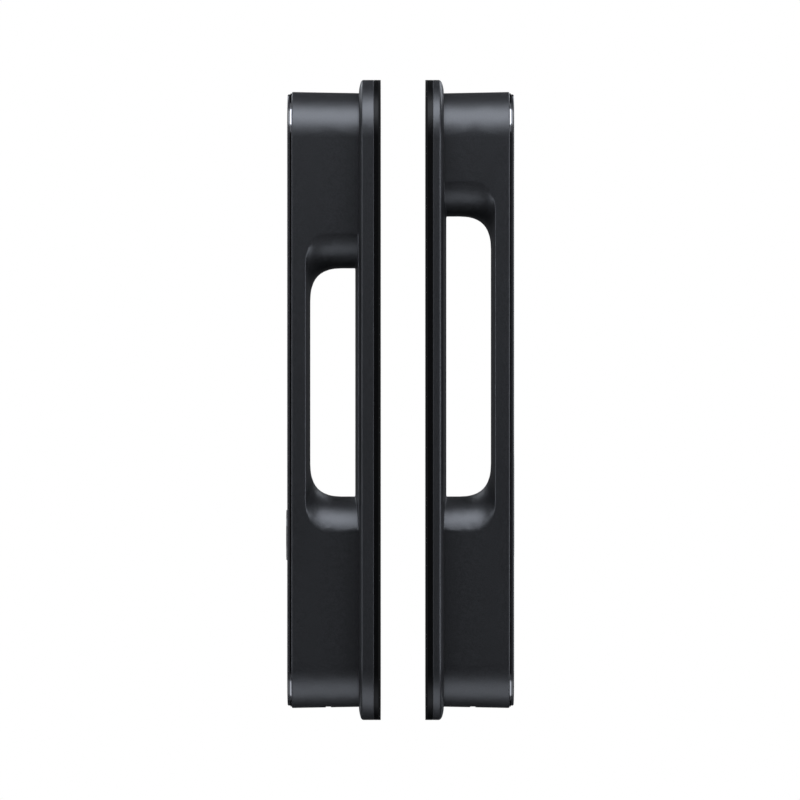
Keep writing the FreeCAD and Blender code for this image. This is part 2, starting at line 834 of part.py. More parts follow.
def make_cam_slider(unit):
    """Rack that meshes with the hub, with an arm and the pin that rides in the cam slot."""
    height = float(D.spindle_height)
    half_reach = float(D.rack_reach) / 2
    pitch = math.pi * float(D.tooth_module)
    # a tooth gap of the rack stands at the hub's height, and the rack is centred on its contact
    pairs = int(half_reach / pitch) + 1
    low_tooth = height - float(D.travel) - (pairs + 0.5) * pitch
    low_tooth = height + pitch / 2 - pitch * round((height + pitch / 2 - low_tooth) / pitch)
    count = 2 * pairs + 3
    teeth = rack_teeth(low_tooth, count)
    back = float(RACK_BACK)
    low = teeth[0][1] - pitch / 4
    arm_top = float(D.arm_top)
    corners = [(back, low), (float(RACK_ROOT), low)] + teeth + [(float(RACK_ROOT), arm_top), (back, arm_top)]
    points = [Vector(float(GEAR_BACK), across, up) for across, up in corners]
    points.append(points[0])
    bar = Part.Face(Part.makePolygon(points)).extrude(Vector(float(D.gear_width), 0, 0))
    arm_width = back - float(RACK_ROOT)
    arm_size = (float(D.arm_front - GEAR_BACK), arm_width, float(D.arm_height))
    arm_corner = Vector(float(GEAR_BACK), float(RACK_ROOT), arm_top - arm_size[2])
    arm = Part.makeBox(*arm_size, arm_corner)
    pin_start = float(D.cam_plate_side - D.cam_pin_overrun)
    pin_centre = Vector(float(D.cam_pin_depth), pin_start, arm_top - arm_size[2] / 2)
    pin_length = float(RACK_ROOT) - pin_start
    pin = Part.makeCylinder(float(D.cam_pin_radius), pin_length, pin_centre, Vector(0, 1, 0))
    slider = bar.fuse([arm, pin]).removeSplitter()
    return finish_piece(unit, shaped(f"{unit.side}_slider_shape", slider), "cam_slider")


def make_cam_bracket(unit):
    """Plate on the handle body whose slanted slot drives the slider's pin."""
    side = float(D.cam_plate_side)
    thick = float(D.cam_plate)
    web = float(unit.bar_back)
    pin_depth = float(D.cam_pin_depth)
    travel = float(D.travel)
    reach = -travel if unit.outdoors else travel
    radius = float(D.cam_pin_radius + D.running_gap)
    low = float(D.cam_low)
    high = float(D.cam_high)
    bottom = min(pin_depth, pin_depth + reach) - radius - float(D.cam_margin)
    plate = Part.makeBox(web - bottom, thick, high - low, Vector(bottom, side, low))
    foot_start = Vector(web - float(D.cam_foot_depth), side + thick - float(D.cam_foot), low)
    foot = Part.makeBox(float(D.cam_foot_depth), float(D.cam_foot), high - low, foot_start)
    middle = float(D.arm_top - D.arm_height / 2)
    past = float(OVERRUN)
    slack = float(D.running_gap) * math.sqrt(2)
    toward = 1 if reach > 0 else -1
    first = Vector(pin_depth - toward * slack, side - past, middle - slack)
    last = Vector(pin_depth + reach + toward * slack, side - past, middle + travel + slack)
    along = last - first
    across = Vector(-along.z, 0, along.x).normalize() * radius
    outline = Part.makePolygon([first + across, last + across, last - across, first - across, first + across])
    slot = Part.Face(outline).extrude(Vector(0, thick + 2 * past, 0))
    ends = [Part.makeCylinder(radius, thick + 2 * past, centre, Vector(0, 1, 0)) for centre in (first, last)]
    bracket = plate.fuse(foot).cut([slot] + ends)
    holes = [
        Part.makeCylinder(float(D.screw_radius), web, Vector(0, 0, float(up)), Vector(1, 0, 0))
        for up in bracket_screw_heights()
    ]
    bracket = bracket.cut(holes).removeSplitter()
    return finish_piece(unit, shaped(f"{unit.side}_bracket_shape", bracket), "cam_bracket")


def bracket_screw_heights():
    """Heights of the two screws in the cam bracket's foot."""
    return (D.cam_low + D.cam_foot_depth * 2, D.cam_high - D.cam_foot_depth * 2)


# ---- handle body and what slides with it -------------------------------------------------------


def stadium_wire(outline, depth):
    """A stadium outline as a wire at one depth."""
    half, radius = (float(part) for part in outline)
    middle = half - radius
    right = Part.makeLine(Vector(depth, radius, -middle), Vector(depth, radius, middle))
    top = Part.Arc(Vector(depth, radius, middle), Vector(depth, 0, half), Vector(depth, -radius, middle))
    left = Part.makeLine(Vector(depth, -radius, middle), Vector(depth, -radius, -middle))
    bottom = Part.Arc(Vector(depth, -radius, -middle), Vector(depth, 0, -half), Vector(depth, radius, -middle))
    return Part.Wire([right, top.toShape(), left, bottom.toShape()])


def curved_corner(start, start_way, end, end_way):
    """A soft corner: one cubic curve between two points, leaving each along its own way."""
    fullness = float(D.corner_fullness)
    curve = Part.BezierCurve()
    curve.setPoles([start, start + start_way * fullness, end + end_way * fullness, end])
    return curve.toShape()


def opening_section(unit, turn):
    """Outline of the finger opening at one turn of its roll: 0 is mid width, a right angle the side."""
    roll = 1 - math.cos(turn)
    side = math.sin(turn)
    width = float(BODY_FRONT[1]) * side
    growth = float(D.flare_height) * roll
    high = float(unit.opening_top) + growth
    low = float(D.opening_bottom) - growth
    back = float(unit.floor_face) - float(unit.floor_roll) * (1 - math.cos(turn) ** 4)
    front = float(unit.bar_back) + float(unit.bar_roll) * side * side
    big = (float(D.corner_depth), float(D.corner_height) + float(D.corner_growth) * roll)
    small = (float(D.floor_corner_depth), float(D.floor_corner_height))

    def at(depth, height):
        return Vector(depth, width, height)

    out = Vector(1, 0, 0)
    up = Vector(0, 0, 1)
    edges = [
        Part.makeLine(at(front, low + big[1]), at(front, high - big[1])),
        curved_corner(at(front, high - big[1]), up * big[1], at(front - big[0], high), out * big[0]),
        Part.makeLine(at(front - big[0], high), at(back + small[0], high)),
        curved_corner(at(back + small[0], high), out * -small[0], at(back, high - small[1]), up * small[1]),
        Part.makeLine(at(back, high - small[1]), at(back, low + small[1])),
        curved_corner(at(back, low + small[1]), up * -small[1], at(back + small[0], low), out * -small[0]),
        Part.makeLine(at(back + small[0], low), at(front - big[0], low)),
        curved_corner(at(front - big[0], low), out * big[0], at(front, low + big[1]), up * -big[1]),
    ]
    return Part.Wire(edges)


def finger_opening(unit):
    """The flared opening between the grip bar and the floor behind it."""
    steps = 12
    turns = [math.pi * (number / steps - 0.5) for number in range(steps + 1)]
    roll = Part.makeLoft([opening_section(unit, turn) for turn in turns], True, False)
    beyond = float(D.body_margin)
    caps = []
    for side in (-1, 1):
        face = Part.Face(opening_section(unit, side * math.pi / 2))
        caps.append(face.extrude(Vector(0, side * beyond, 0)))
    return roll.fuse(caps)


def slab(outline, start, end):
    """A stadium-ended solid between two depths."""
    length = float(end) - float(start)
    return Part.Face(stadium_wire(outline, float(start))).extrude(Vector(length, 0, 0))


def make_handle_body(unit):
    """One casting: two hollow blocks joined by the grip bar and by the floor behind the fingers."""
    back = float(unit.skirt_back)
    front = float(unit.body_front)
    wires = [stadium_wire(BODY_BACK, back), stadium_wire(BODY_FRONT, front)]
    shell = Part.makeLoft(wires, True, True)
    rim = [edge for edge in shell.Edges if abs(edge.BoundBox.XMin - front) < 1e-4]
    shell = shell.makeFillet(float(D.body_edge_round), rim)
    web_back = float(unit.bar_back)
    beyond = float(D.plate_half_height)
    wide = float(D.plate_half_width)
    top_start = float(unit.opening_top + D.flare_height + D.block_roof)
    low_start = float(D.opening_bottom - D.flare_height - D.block_roof)
    past = float(OVERRUN)
    blocks = slab(CAVITY, back - past, web_back)
    upper = Part.makeBox(web_back, 2 * wide, beyond - top_start, Vector(0, -wide, top_start))
    lower = Part.makeBox(web_back, 2 * wide, beyond + low_start, Vector(0, -wide, -beyond))
    hollows = [
        finger_opening(unit),
        slab(CAVITY, unit.web_front, front + past),
        slab(CAVITY, back - past, unit.floor_face - D.floor_wall),
        blocks.common(upper),
        blocks.common(lower),
    ]
    casting = shell.cut(hollows)
    out = Vector(1, 0, 0)
    posts = []
    carrier_front = float(D.carrier_back + D.carrier_depth)
    for side, up in GUIDES:
        place = Vector(carrier_front, float(POST_SPREAD) * side, float(D.guide_height) * up)
        posts.append(Part.makeCylinder(float(D.post_radius), web_back - carrier_front, place, out))
    for across, up in board_corners(unit):
        place = Vector(float(unit.web_front), float(across), float(up))
        posts.append(Part.makeCylinder(float(D.standoff_radius), float(D.standoff_height), place, out))
    casting = casting.fuse(posts)
    holes = []
    thread = float(D.screw_radius)
    for start, across, up in body_screw_places(unit):
        place = Vector(float(start), float(across), float(up))
        holes.append(Part.makeCylinder(thread, float(body_screw_length()), place, out))
    harness = Vector(web_back - past, float(D.cable_slot_side), float(D.cable_slot_middle))
    holes.append(Part.makeCylinder(float(D.harness_hole), float(D.web_depth) + 2 * past, harness, out))
    holes += port_cuts(unit)
    if not unit.outdoors:
        holes.append(tray_window(unit))
    casting = casting.cut(holes).removeSplitter()
    return finish_piece(unit, shaped(f"{unit.side}_handle_shape", casting), "handle_body")


def port_cuts(unit):
    """The charging port's shallow recess and its hole through the bottom wall."""
    depth = float(unit.body_front - D.port_setback)
    bottom = -float(BODY_FRONT[0])
    wide = float(D.port_recess_width)
    tall = float(D.port_recess_depth)
    local = bottom + float(D.body_draft) * float(D.port_setback) / float(unit.body_front - unit.skirt_back)
    sink = float(D.port_recess_sink)
    past = float(OVERRUN)
    recess = Part.makeBox(tall, wide, sink + past, Vector(depth - tall / 2, -wide / 2, local - past))
    width = float(D.port_width)
    hole_start = Vector(depth - float(D.port_depth) / 2, -width / 2, local - past)
    hole = Part.makeBox(float(D.port_depth), width, float(D.body_wall) + 3 * past, hole_start)
    return [recess, hole]


def make_usb_port(unit):
    """Metal receptacle for emergency power, held in the bottom wall."""
    name = f"{unit.side}_usb"
    slope = D.body_draft * D.port_setback / (unit.body_front - unit.skirt_back)
    low = slope - BODY_FRONT[0] + D.port_recess_sink
    depth = unit.body_front - D.port_setback
    half_depth = D.port_depth / 2
    half_width = D.port_width / 2
    high = low + D.port_length
    shell = block(f"{name}_shell", (depth - half_depth, -half_width, low), (depth + half_depth, half_width, high))
    inner_low = (depth - half_depth + D.port_wall, D.port_wall - half_width, low - OVERRUN)
    inner_high = (depth + half_depth - D.port_wall, half_width - D.port_wall, high - OVERRUN)
    mouth = block(f"{name}_mouth", inner_low, inner_high)
    tongue_low = (depth - D.port_wall, D.port_wall * 4 - half_width, low + OVERRUN)
    tongue_high = (depth + D.port_wall, half_width - D.port_wall * 4, high)
    tongue = block(f"{name}_tongue", tongue_low, tongue_high)
    port = join(f"{name}_port_all", [cut(f"{name}_open_shell", shell, [mouth]), tongue])
    return finish_piece(unit, port, "usb_port")


def body_screw_length():
    """How far the casting's screws reach beyond what they clamp."""
    return D.web_depth - D.thread_relief


def body_screw_places(unit):
    """Start of each threaded hole in the casting: depth, width and height."""
    places = []
    carrier_front = D.carrier_back + D.carrier_depth
    for side, up in GUIDES:
        places.append((carrier_front, POST_SPREAD * side, D.guide_height * up))
    for up in bracket_screw_heights():
        places.append((unit.bar_back, size(0), up))
    return places


def make_body_screws(unit):
    """Screws that hold the carriers and the cam bracket to the casting."""
    screws = []
    for number, (start, across, up) in enumerate(body_screw_places(unit)):
        name = f"{unit.side}_body_screw_{number}"
        clamped = D.carrier_depth if number < len(GUIDES) else D.cam_foot_depth
        head_start = start - clamped - D.screw_head_depth
        length = body_screw_length() - D.screw_tip_gap
        head = rod(f"{name}_head", (head_start, across, up), D.screw_head_radius, D.screw_head_depth)
        shank = rod(f"{name}_shank", (start - clamped, across, up), D.screw_radius, clamped + length)
        screws.append(join(name, [head, shank]))
    return finish_piece(unit, group(f"{unit.side}_body_screws_all", screws), "body_screws")


def make_guide_carriers(unit):
    """Two cross plates in the casting that carry the guide bushes."""
    carriers = []
    carrier_front = D.carrier_back + D.carrier_depth
    for up, word in ((1, "upper"), (-1, "lower")):
        name = f"{unit.side}_{word}_carrier"
        middle = D.guide_height * up
        half = D.carrier_height / 2
        plate = block(
            f"{name}_plate",
            (D.carrier_back, -D.carrier_half_width, middle - half),
            (carrier_front, D.carrier_half_width, middle + half),
        )
        tools = []
        for side in (-1, 1):
            start = (D.carrier_back - OVERRUN, D.guide_spread * side, middle)
            tools.append(rod(f"{name}_bush_seat_{side + 1}", start, D.bush_radius, D.carrier_depth + OVERRUN * 2))
            start = (D.carrier_back - OVERRUN, POST_SPREAD * side, middle)
            tools.append(rod(f"{name}_screw_hole_{side + 1}", start, D.screw_radius, D.carrier_depth + OVERRUN * 2))
        limits = stadium_prism(f"{name}_limits", RIM, D.carrier_back, carrier_front)
        carriers.append(common(name, [cut(f"{name}_drilled", plate, tools), limits]))
    return finish_piece(unit, group(f"{unit.side}_carriers_all", carriers), "guide_carriers")


def make_guide_bushes(unit):
    """Plain bushes pressed into the carriers."""
    bushes = []
    for number, (side, up) in enumerate(GUIDES):
        name = f"{unit.side}_bush_{number}"
        place = (D.carrier_back, D.guide_spread * side, D.guide_height * up)
        outside = rod(f"{name}_outside", place, D.bush_radius, D.carrier_depth)
        bore = rod(f"{name}_bore", place, D.pin_radius + D.running_gap, D.carrier_depth)
        bushes.append(cut(name, outside, [bore]))
    return finish_piece(unit, group(f"{unit.side}_bushes_all", bushes), "guide_bushes")


def coil(start, length, radius, wire, coils):
    """A compression spring about X, from its lowest depth."""
    start_depth = float(start[0])
    wire_radius = wire / 2
    rise = length - wire
    helix = Part.makeLongHelix(rise / coils, rise, radius)
    ring = Part.Wire(Part.makeCircle(wire_radius, Vector(radius, 0, 0), Vector(0, 1, 0)))
    body = Part.Wire(helix.Edges).makePipeShell([ring], True, True)
    body.rotate(Vector(0, 0, 0), Vector(0, 1, 0), 90)
    body.translate(Vector(start_depth + wire_radius, float(start[1]), float(start[2])))
    return body


def make_return_springs(unit):
    """Springs round the guide pins that bring the handle body back to rest."""
    springs = []
    carrier_front = float(D.carrier_back + D.carrier_depth)
    if unit.outdoors:
        start = carrier_front
        length = float(D.spring_length)
    else:
        start = float(unit.plate_front)
        length = float(D.carrier_back) - start
    for side, up in GUIDES:
        place = (start, D.guide_spread * side, D.guide_height * up)
        springs.append(coil(place, length, float(D.spring_radius), float(D.spring_wire), float(D.spring_coils)))
    springs = Part.makeCompound(springs)
    return finish_piece(unit, shaped(f"{unit.side}_springs_shape", springs), "return_springs")


def board_corners(unit):
    """Standoff places of the main board in the grip bar."""
    low, high = board_span(unit)
    edge = D.standoff_radius + D.standoff_edge_gap
    across = D.board_half_width - edge
    return [(across * side, up) for side in (-1, 1) for up in (low + edge, high - edge)]


def board_span(unit):
    """Lowest and highest point of the main board."""
    if unit.outdoors:
        return D.opening_bottom + D.sensor_flange, D.sensor_height - D.dish_radius
    return D.insert_middle + D.insert_half_height + D.sensor_flange, D.opening_bottom * -1 + D.insert_half_height


def make_main_board(unit):
    """Circuit board with its larger components, on standoffs in the grip bar."""
    name = f"{unit.side}_main_board"
    low, high = board_span(unit)
    back = unit.web_front + D.standoff_height
    front = back + D.board_depth
    half = D.board_half_width
    parts = [block(f"{name}_sheet", (back, -half, low), (front, half, high))]
    middle = (low + high) / 2
    chip = D.board_depth * 5
    component = D.board_depth
    places = ((-1, 0, 1.6), (1, 1, 1.0), (0.2, -2.2, 1.3), (-0.9, 3.2, 0.8), (1.2, -4.0, 0.9))
    for number, (across, up, scale) in enumerate(places):
        centre = (chip * across, middle + chip * up)
        reach = chip / 2 * scale
        corner_low = (front, centre[0] - reach, centre[1] - reach)
        corner_high = (front + component * scale / 1.6, centre[0] + reach, centre[1] + reach)
        parts.append(block(f"{name}_chip_{number}", corner_low, corner_high))
    return finish_piece(unit, join(f"{name}_all", parts), "main_board")


def face_holes(unit):
    """Round holes through the glass: height, radius for the glass and radius for the frame."""
    if unit.outdoors:
        return [
            (D.sensor_height, D.sensor_radius, D.sensor_radius + D.trim_gap),
            (D.bell_height, D.bell_radius + D.trim_gap, D.bell_radius + D.trim_gap),
        ]
    return []


def make_face_frame(unit):
    """Gloss frame seen as the dark line round the glass, with a rim that seats in the casting."""
    body = drawn_body(f"{unit.side}_face_frame_body")
    outline = face_sketch(body, "outline", unit.body_front)
    draw_stadium(outline, GROOVE)
    for up, _, radius in face_holes(unit):
        draw_circle(outline, 0, up, radius)
    if not unit.outdoors:
        for side in (-1, 1):
            draw_circle(outline, MAGNET_SIDE * side, D.guide_height, D.magnet_radius)
    pad(body, outline, D.groove_depth)
    rim = face_sketch(body, "rim", unit.body_front - D.rim_height)
    draw_stadium(rim, RIM)
    draw_stadium(rim, RIM_INSIDE)
    pad(body, rim, D.rim_height)
    window = face_sketch(body, "window", unit.body_front)
    gap = D.trim_gap
    if unit.outdoors:
        wide = KEYPAD_HALF_WIDTH + gap
        draw_rectangle(window, (-wide, D.keypad_low - gap), (wide, KEYPAD_HIGH + gap))
    else:
        wide = D.insert_half_width - D.rim_width
        tall = D.insert_half_height - D.rim_width
        draw_rectangle(window, (-wide, D.insert_middle - tall), (wide, D.insert_middle + tall))
    pocket(body, window, D.groove_depth)
    if not unit.outdoors:
        tray = face_sketch(body, "tray_window", unit.body_front - D.rim_height)
        wide = D.tray_half_width + gap
        draw_rectangle(tray, (-wide, D.tray_low - gap), (wide, D.tray_high + gap))
        pocket(body, tray, D.rim_height + D.groove_depth)
    return finish_piece(unit, body, "face_frame")


def glass_slab(unit, name, low, high, proud):
    """The part of the glass outline between two heights, with its polished front edge."""
    back = float(unit.glass_back)
    front = float(unit.glass_front + proud)
    whole = slab(GLASS, back, front)
    edges = [edge for edge in whole.Edges if abs(edge.BoundBox.XMin - front) < 1e-4]
    rounded = whole.makeFillet(float(D.glass_edge_round), edges)
    wide = float(D.plate_half_width)
    window = Part.makeBox(front, 2 * wide, high - low, Vector(0, -wide, low))
    return rounded.common(window)


def make_glass_panel(unit):
    """Gloss black glass over the whole face, or up to the battery cover on the indoor unit."""
    beyond = float(D.plate_half_height)
    out = Vector(1, 0, 0)
    front = float(unit.glass_front)
    deep = front + float(OVERRUN)
    if unit.outdoors:
        glass = glass_slab(unit, "glass", -beyond, beyond, size(0))
        sensor = float(D.sensor_height)
        dish = float(D.dish_depth)
        reach = float(D.dish_radius)
        ball = (reach * reach + dish * dish) / (2 * dish)
        centre = Vector(front - dish + ball, 0, sensor)
        cuts = [Part.makeSphere(ball, centre)]
        for up, radius, _ in face_holes(unit):
            cuts.append(Part.makeCylinder(float(radius), deep, Vector(0, 0, float(up)), out))
    else:
        glass = glass_slab(unit, "glass", -beyond, float(D.cover_low - D.trim_gap), size(0))
        wide = float(D.insert_half_width + D.trim_gap)
        tall = float(D.insert_half_height + D.trim_gap)
        low = Vector(0, -wide, float(D.insert_middle) - tall)
        cuts = [rounded_block(low, (deep, 2 * wide, 2 * tall), float(D.key_radius))]
    glass = glass.cut(cuts).removeSplitter()
    return finish_piece(unit, shaped(f"{unit.side}_glass_shape", glass), "glass_panel")


def rounded_block(corner, lengths, radius):
    """A box whose four edges along X are rounded."""
    box = Part.makeBox(*lengths, corner)
    upright = [edge for edge in box.Edges if edge.BoundBox.XLength > lengths[0] - 1e-3]
    return box.makeFillet(radius, upright)


def make_speaker(unit):
    """Round sounder behind the glass in the lower part of the face."""
    name = f"{unit.side}_speaker"
    start = (unit.web_front, 0, D.speaker_height)
    can = rod(f"{name}_can", start, D.speaker_radius, D.speaker_depth)
    front = (unit.web_front + D.speaker_depth - D.board_depth / 2, 0, D.speaker_height)
    dimple = rod(f"{name}_dimple", front, D.speaker_radius - D.board_depth, D.board_depth)
    return finish_piece(unit, cut(name, can, [dimple]), "speaker")


# ---- buttons -----------------------------------------------------------------------------------


def make_button(unit, name, up, radius, front, hidden_back):
    """Cap, flange behind the face and a stem that reaches the switch."""
    title = f"{unit.side}_{name}"
    flange_top = hidden_back - D.trim_gap
    flange_back = flange_top - D.button_flange_depth
    cap = rod(f"{title}_cap", (flange_top, 0, up), radius, front - flange_top)
    flange = rod(f"{title}_flange", (flange_back, 0, up), radius + D.button_flange, D.button_flange_depth)
    stem_back = switch_front(unit) + D.trim_gap + D.button_press
    stem = rod(f"{title}_stem", (stem_back, 0, up), D.button_stem, flange_back - stem_back)
    return finish_piece(unit, join(f"{title}_all", [cap, flange, stem]), name)


def switch_front(unit):
    """Front of the small switches on the button boards."""
    return unit.web_front + D.board_depth * 2


def make_button_board(unit, name, low, high, half_width, switches):
    """Small board on the casting's web with a switch behind each button."""
    title = f"{unit.side}_{name}"
    front = unit.web_front + D.board_depth
    parts = [block(f"{title}_sheet", (unit.web_front, -half_width, low), (front, half_width, high))]
    reach = D.switch_width / 2
    for number, up in enumerate(switches):
        corner_low = (front, -reach, up - reach)
        parts.append(block(f"{title}_switch_{number}", corner_low, (switch_front(unit), reach, up + reach)))
    return finish_piece(unit, join(f"{title}_all", parts), name)


def make_button_spring(unit, name, up, hidden_back):
    """Light coil between the board and the button's flange."""
    start = unit.web_front + D.board_depth
    length = float(hidden_back - D.trim_gap - D.button_flange_depth - start)
    place = (start, size(0), up)
    shape = coil(
        place,
        length,
        float(D.button_spring_radius),
        float(D.button_spring_wire),
        float(D.button_spring_coils),
    )
    return finish_piece(unit, shaped(f"{unit.side}_{name}_shape", shape), name)


# ---- outdoor face --------------------------------------------------------------------------------


def make_fingerprint_sensor(unit):
    """Round sensor flush with the bottom of its dish."""
    title = f"{unit.side}_sensor"
    front = unit.glass_front - D.dish_depth - D.running_gap
    disc = rod(f"{title}_disc", (unit.body_front, 0, D.sensor_height), D.sensor_radius, front - unit.body_front)
    back = unit.body_front - D.rim_height
    flange = rod(f"{title}_flange", (back, 0, D.sensor_height), D.sensor_flange, D.rim_height)
    return finish_piece(unit, join(f"{title}_all", [disc, flange]), "fingerprint_sensor")


def make_keypad_board(unit):
    """Touch board pressed against the back of the glass, seated in the frame's window."""
    title = f"{unit.side}_keypad"
    wide = KEYPAD_HALF_WIDTH
    back = unit.glass_back - D.board_depth
    sheet = block(f"{title}_sheet", (back, -wide, D.keypad_low), (unit.glass_back, wide, KEYPAD_HIGH))
    chip = D.board_depth * 4
    middle = (D.keypad_low + KEYPAD_HIGH) / 2
    touch_chip = block(
        f"{title}_chip",
        (back - D.board_depth, -chip, middle - chip),
        (back, chip, middle + chip),
    )
    return finish_piece(unit, join(f"{title}_all", [sheet, touch_chip]), "keypad_board")


# ---- indoor face ---------------------------------------------------------------------------------


# the tray's back stays clear of the guide pins' heads when the handle body is pushed in
TRAY_BACK = (
    D.carrier_back
    + D.carrier_depth
    + D.running_gap * 2
    + D.pin_head_depth
    + D.travel
    + D.skirt_rest_gap
)


def tray_window(unit):
    """Hole through the web that the battery tray drops into."""
    wide = float(D.tray_half_width)
    low = float(D.tray_low)
    high = float(D.tray_high)
    deep = float(unit.body_front)
    return Part.makeBox(deep, 2 * wide, high - low, Vector(float(unit.bar_back - OVERRUN), -wide, low))


def make_battery_tray(unit):
    """Open-fronted box for the battery pack, seated in the web's window."""
    title = f"{unit.side}_tray"
    wide = D.tray_half_width
    wall = D.tray_wall
    front = unit.body_front
    box = block(f"{title}_box", (TRAY_BACK, -wide, D.tray_low), (front, wide, D.tray_high))
    room = block(
        f"{title}_room",
        (TRAY_BACK + wall, wall - wide, D.tray_low + wall),
        (front + OVERRUN, wide - wall, D.tray_high - wall),
    )
    limits = stadium_prism(f"{title}_limits", RIM, TRAY_BACK, front)
    tray = common(f"{title}_fitted", [cut(f"{title}_open", box, [room]), limits])
    return finish_piece(unit, tray, "battery_tray")


def pack_corners(unit):
    """The battery pack's low and high corners inside its tray."""
    inside = D.tray_wall + D.pack_gap
    back = TRAY_BACK + D.tray_wall + D.contact_depth
    low = (back, inside - D.tray_half_width, D.tray_low + inside)
    high = (unit.body_front - D.pack_sink, D.tray_half_width - inside, D.tray_high - inside)
    return low, high


def make_battery_pack(unit):
    """Rechargeable pack that plugs in behind the cover."""
    title = f"{unit.side}_pack"
    low, high = pack_corners(unit)
    case = block(f"{title}_case", low, high)
    pull = D.key_radius
    middle = (low[2] + high[2]) / 2
    front = high[0]
    reach = OVERRUN
    groove = block(f"{title}_pull", (front - reach, -pull, middle - reach), (front + reach, pull, middle + reach))
    limits = stadium_prism(f"{title}_limits", inset(RIM, D.tray_wall), low[0], front)
    pack = common(f"{title}_fitted", [cut(f"{title}_grooved", case, [groove]), limits])
    return finish_piece(unit, pack, "battery_pack")


def make_battery_contacts(unit):
    """Contact blades between the tray's back and the pack."""
    title = f"{unit.side}_contacts"
    back = TRAY_BACK + D.tray_wall
    low, high = pack_corners(unit)
    middle = (low[2] + high[2]) / 2
    blades = []
    for number in (-1, 0, 1):
        across = D.key_radius * number
        corner_low = (back, across - D.magnet_radius, middle - D.magnet_radius)
        corner_high = (low[0], across + D.magnet_radius, middle + D.magnet_radius)
        blades.append(block(f"{title}_blade_{number + 1}", corner_low, corner_high))
    return finish_piece(unit, group(f"{title}_all", blades), "battery_contacts")


def make_cover_magnets(unit):
    """Two disc magnets set in the face frame, one each side of the tray."""
    magnets = []
    for side in (-1, 1):
        start = (unit.body_front, MAGNET_SIDE * side, D.guide_height)
        magnets.append(rod(f"{unit.side}_magnet_{side + 1}", start, D.magnet_radius, D.groove_depth))
    return finish_piece(unit, group(f"{unit.side}_magnets_all", magnets), "cover_magnets")


def make_battery_cover(unit):
    """Top part of the indoor face; it lifts straight off its magnets."""
    cover = glass_slab(unit, "cover", float(D.cover_low), float(D.plate_half_height), D.cover_proud)
    return finish_piece(unit, shaped(f"{unit.side}_cover_shape", cover), "battery_cover")


def make_control_insert(unit):
    """Slightly raised insert in the indoor face that guides the two keys."""
    wide = float(D.insert_half_width)
    tall = float(D.insert_half_height)
    back = float(unit.glass_back)
    front = float(unit.glass_front + D.insert_proud)
    corner = Vector(back, -wide, float(D.insert_middle) - tall)
    insert = rounded_block(corner, (front - back, 2 * wide, 2 * tall), float(D.key_radius))
    out = Vector(1, 0, 0)
    hole = float(D.key_radius + D.trim_gap)
    cuts = [Part.makeCylinder(hole, front + float(OVERRUN), Vector(0, 0, float(up)), out) for up in key_heights()]
    insert = insert.cut(cuts).removeSplitter()
    return finish_piece(unit, shaped(f"{unit.side}_insert_shape", insert), "control_insert")


def key_heights():
    """Heights of the opening key and the locking key."""
    return (D.insert_middle + D.key_spread, D.insert_middle - D.key_spread)


# ---- build, check and write ---------------------------------------------------------------------

for one in (OUTER, INNER):
    make_gasket(one)
    make_mounting_plate(one)
    make_base_frame(one)
    make_frame_screws(one)
    make_guide_pins(one)
    make_gear_housing(one)
    make_gear_cover(one)
    make_gear_screws(one)
    make_spindle_hub(one)
    make_cam_slider(one)
    make_cam_bracket(one)
    make_handle_body(one)
    make_guide_carriers(one)
    make_guide_bushes(one)
    make_body_screws(one)
    make_return_springs(one)
    make_usb_port(one)
    make_main_board(one)
    make_speaker(one)
    make_face_frame(one)
    make_glass_panel(one)

make_fingerprint_sensor(OUTER)
make_keypad_board(OUTER)
bell_low = D.bell_height - D.sensor_flange
bell_high = D.bell_height + D.sensor_flange
bell_front = OUTER.glass_front + D.bell_proud
make_button(OUTER, "bell_button", D.bell_height, D.bell_radius, bell_front, OUTER.body_front)
make_button_spring(OUTER, "bell_spring", D.bell_height, OUTER.body_front)
make_button_board(OUTER, "bell_board", bell_low, bell_high, D.sensor_flange, [D.bell_height])

make_battery_tray(INNER)
make_battery_pack(INNER)
make_battery_contacts(INNER)
make_battery_cover(INNER)
make_cover_magnets(INNER)
make_control_insert(INNER)
for key, key_height in zip(("open", "lock"), key_heights()):
    key_front = INNER.glass_front + D.insert_proud
    make_button(INNER, f"{key}_key", key_height, D.key_radius, key_front, INNER.glass_back)
    make_button_spring(INNER, f"{key}_spring", key_height, INNER.glass_back)
board_reach = D.insert_half_height - D.board_depth * 2
make_button_board(
    INNER,
    "key_board",
    D.insert_middle - board_reach,
    D.insert_middle + board_reach,
    D.insert_half_width - D.board_depth * 2,
    key_heights(),
)

DOC.recompute()
for item in DOC.Objects:
    if "Invalid" in item.State or "Error" in item.State:
        raise RuntimeError(f"{item.Label} failed: {item.State}")
os.makedirs("parts", exist_ok=True)
for piece in PIECES:
    shape = piece.Shape
    if shape.isNull() or not shape.isValid() or not shape.Solids:
        raise RuntimeError(f"{piece.Label} has no valid solid")
    shape.exportStep(f"parts/{piece.Label}.step")
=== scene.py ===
import json
import math

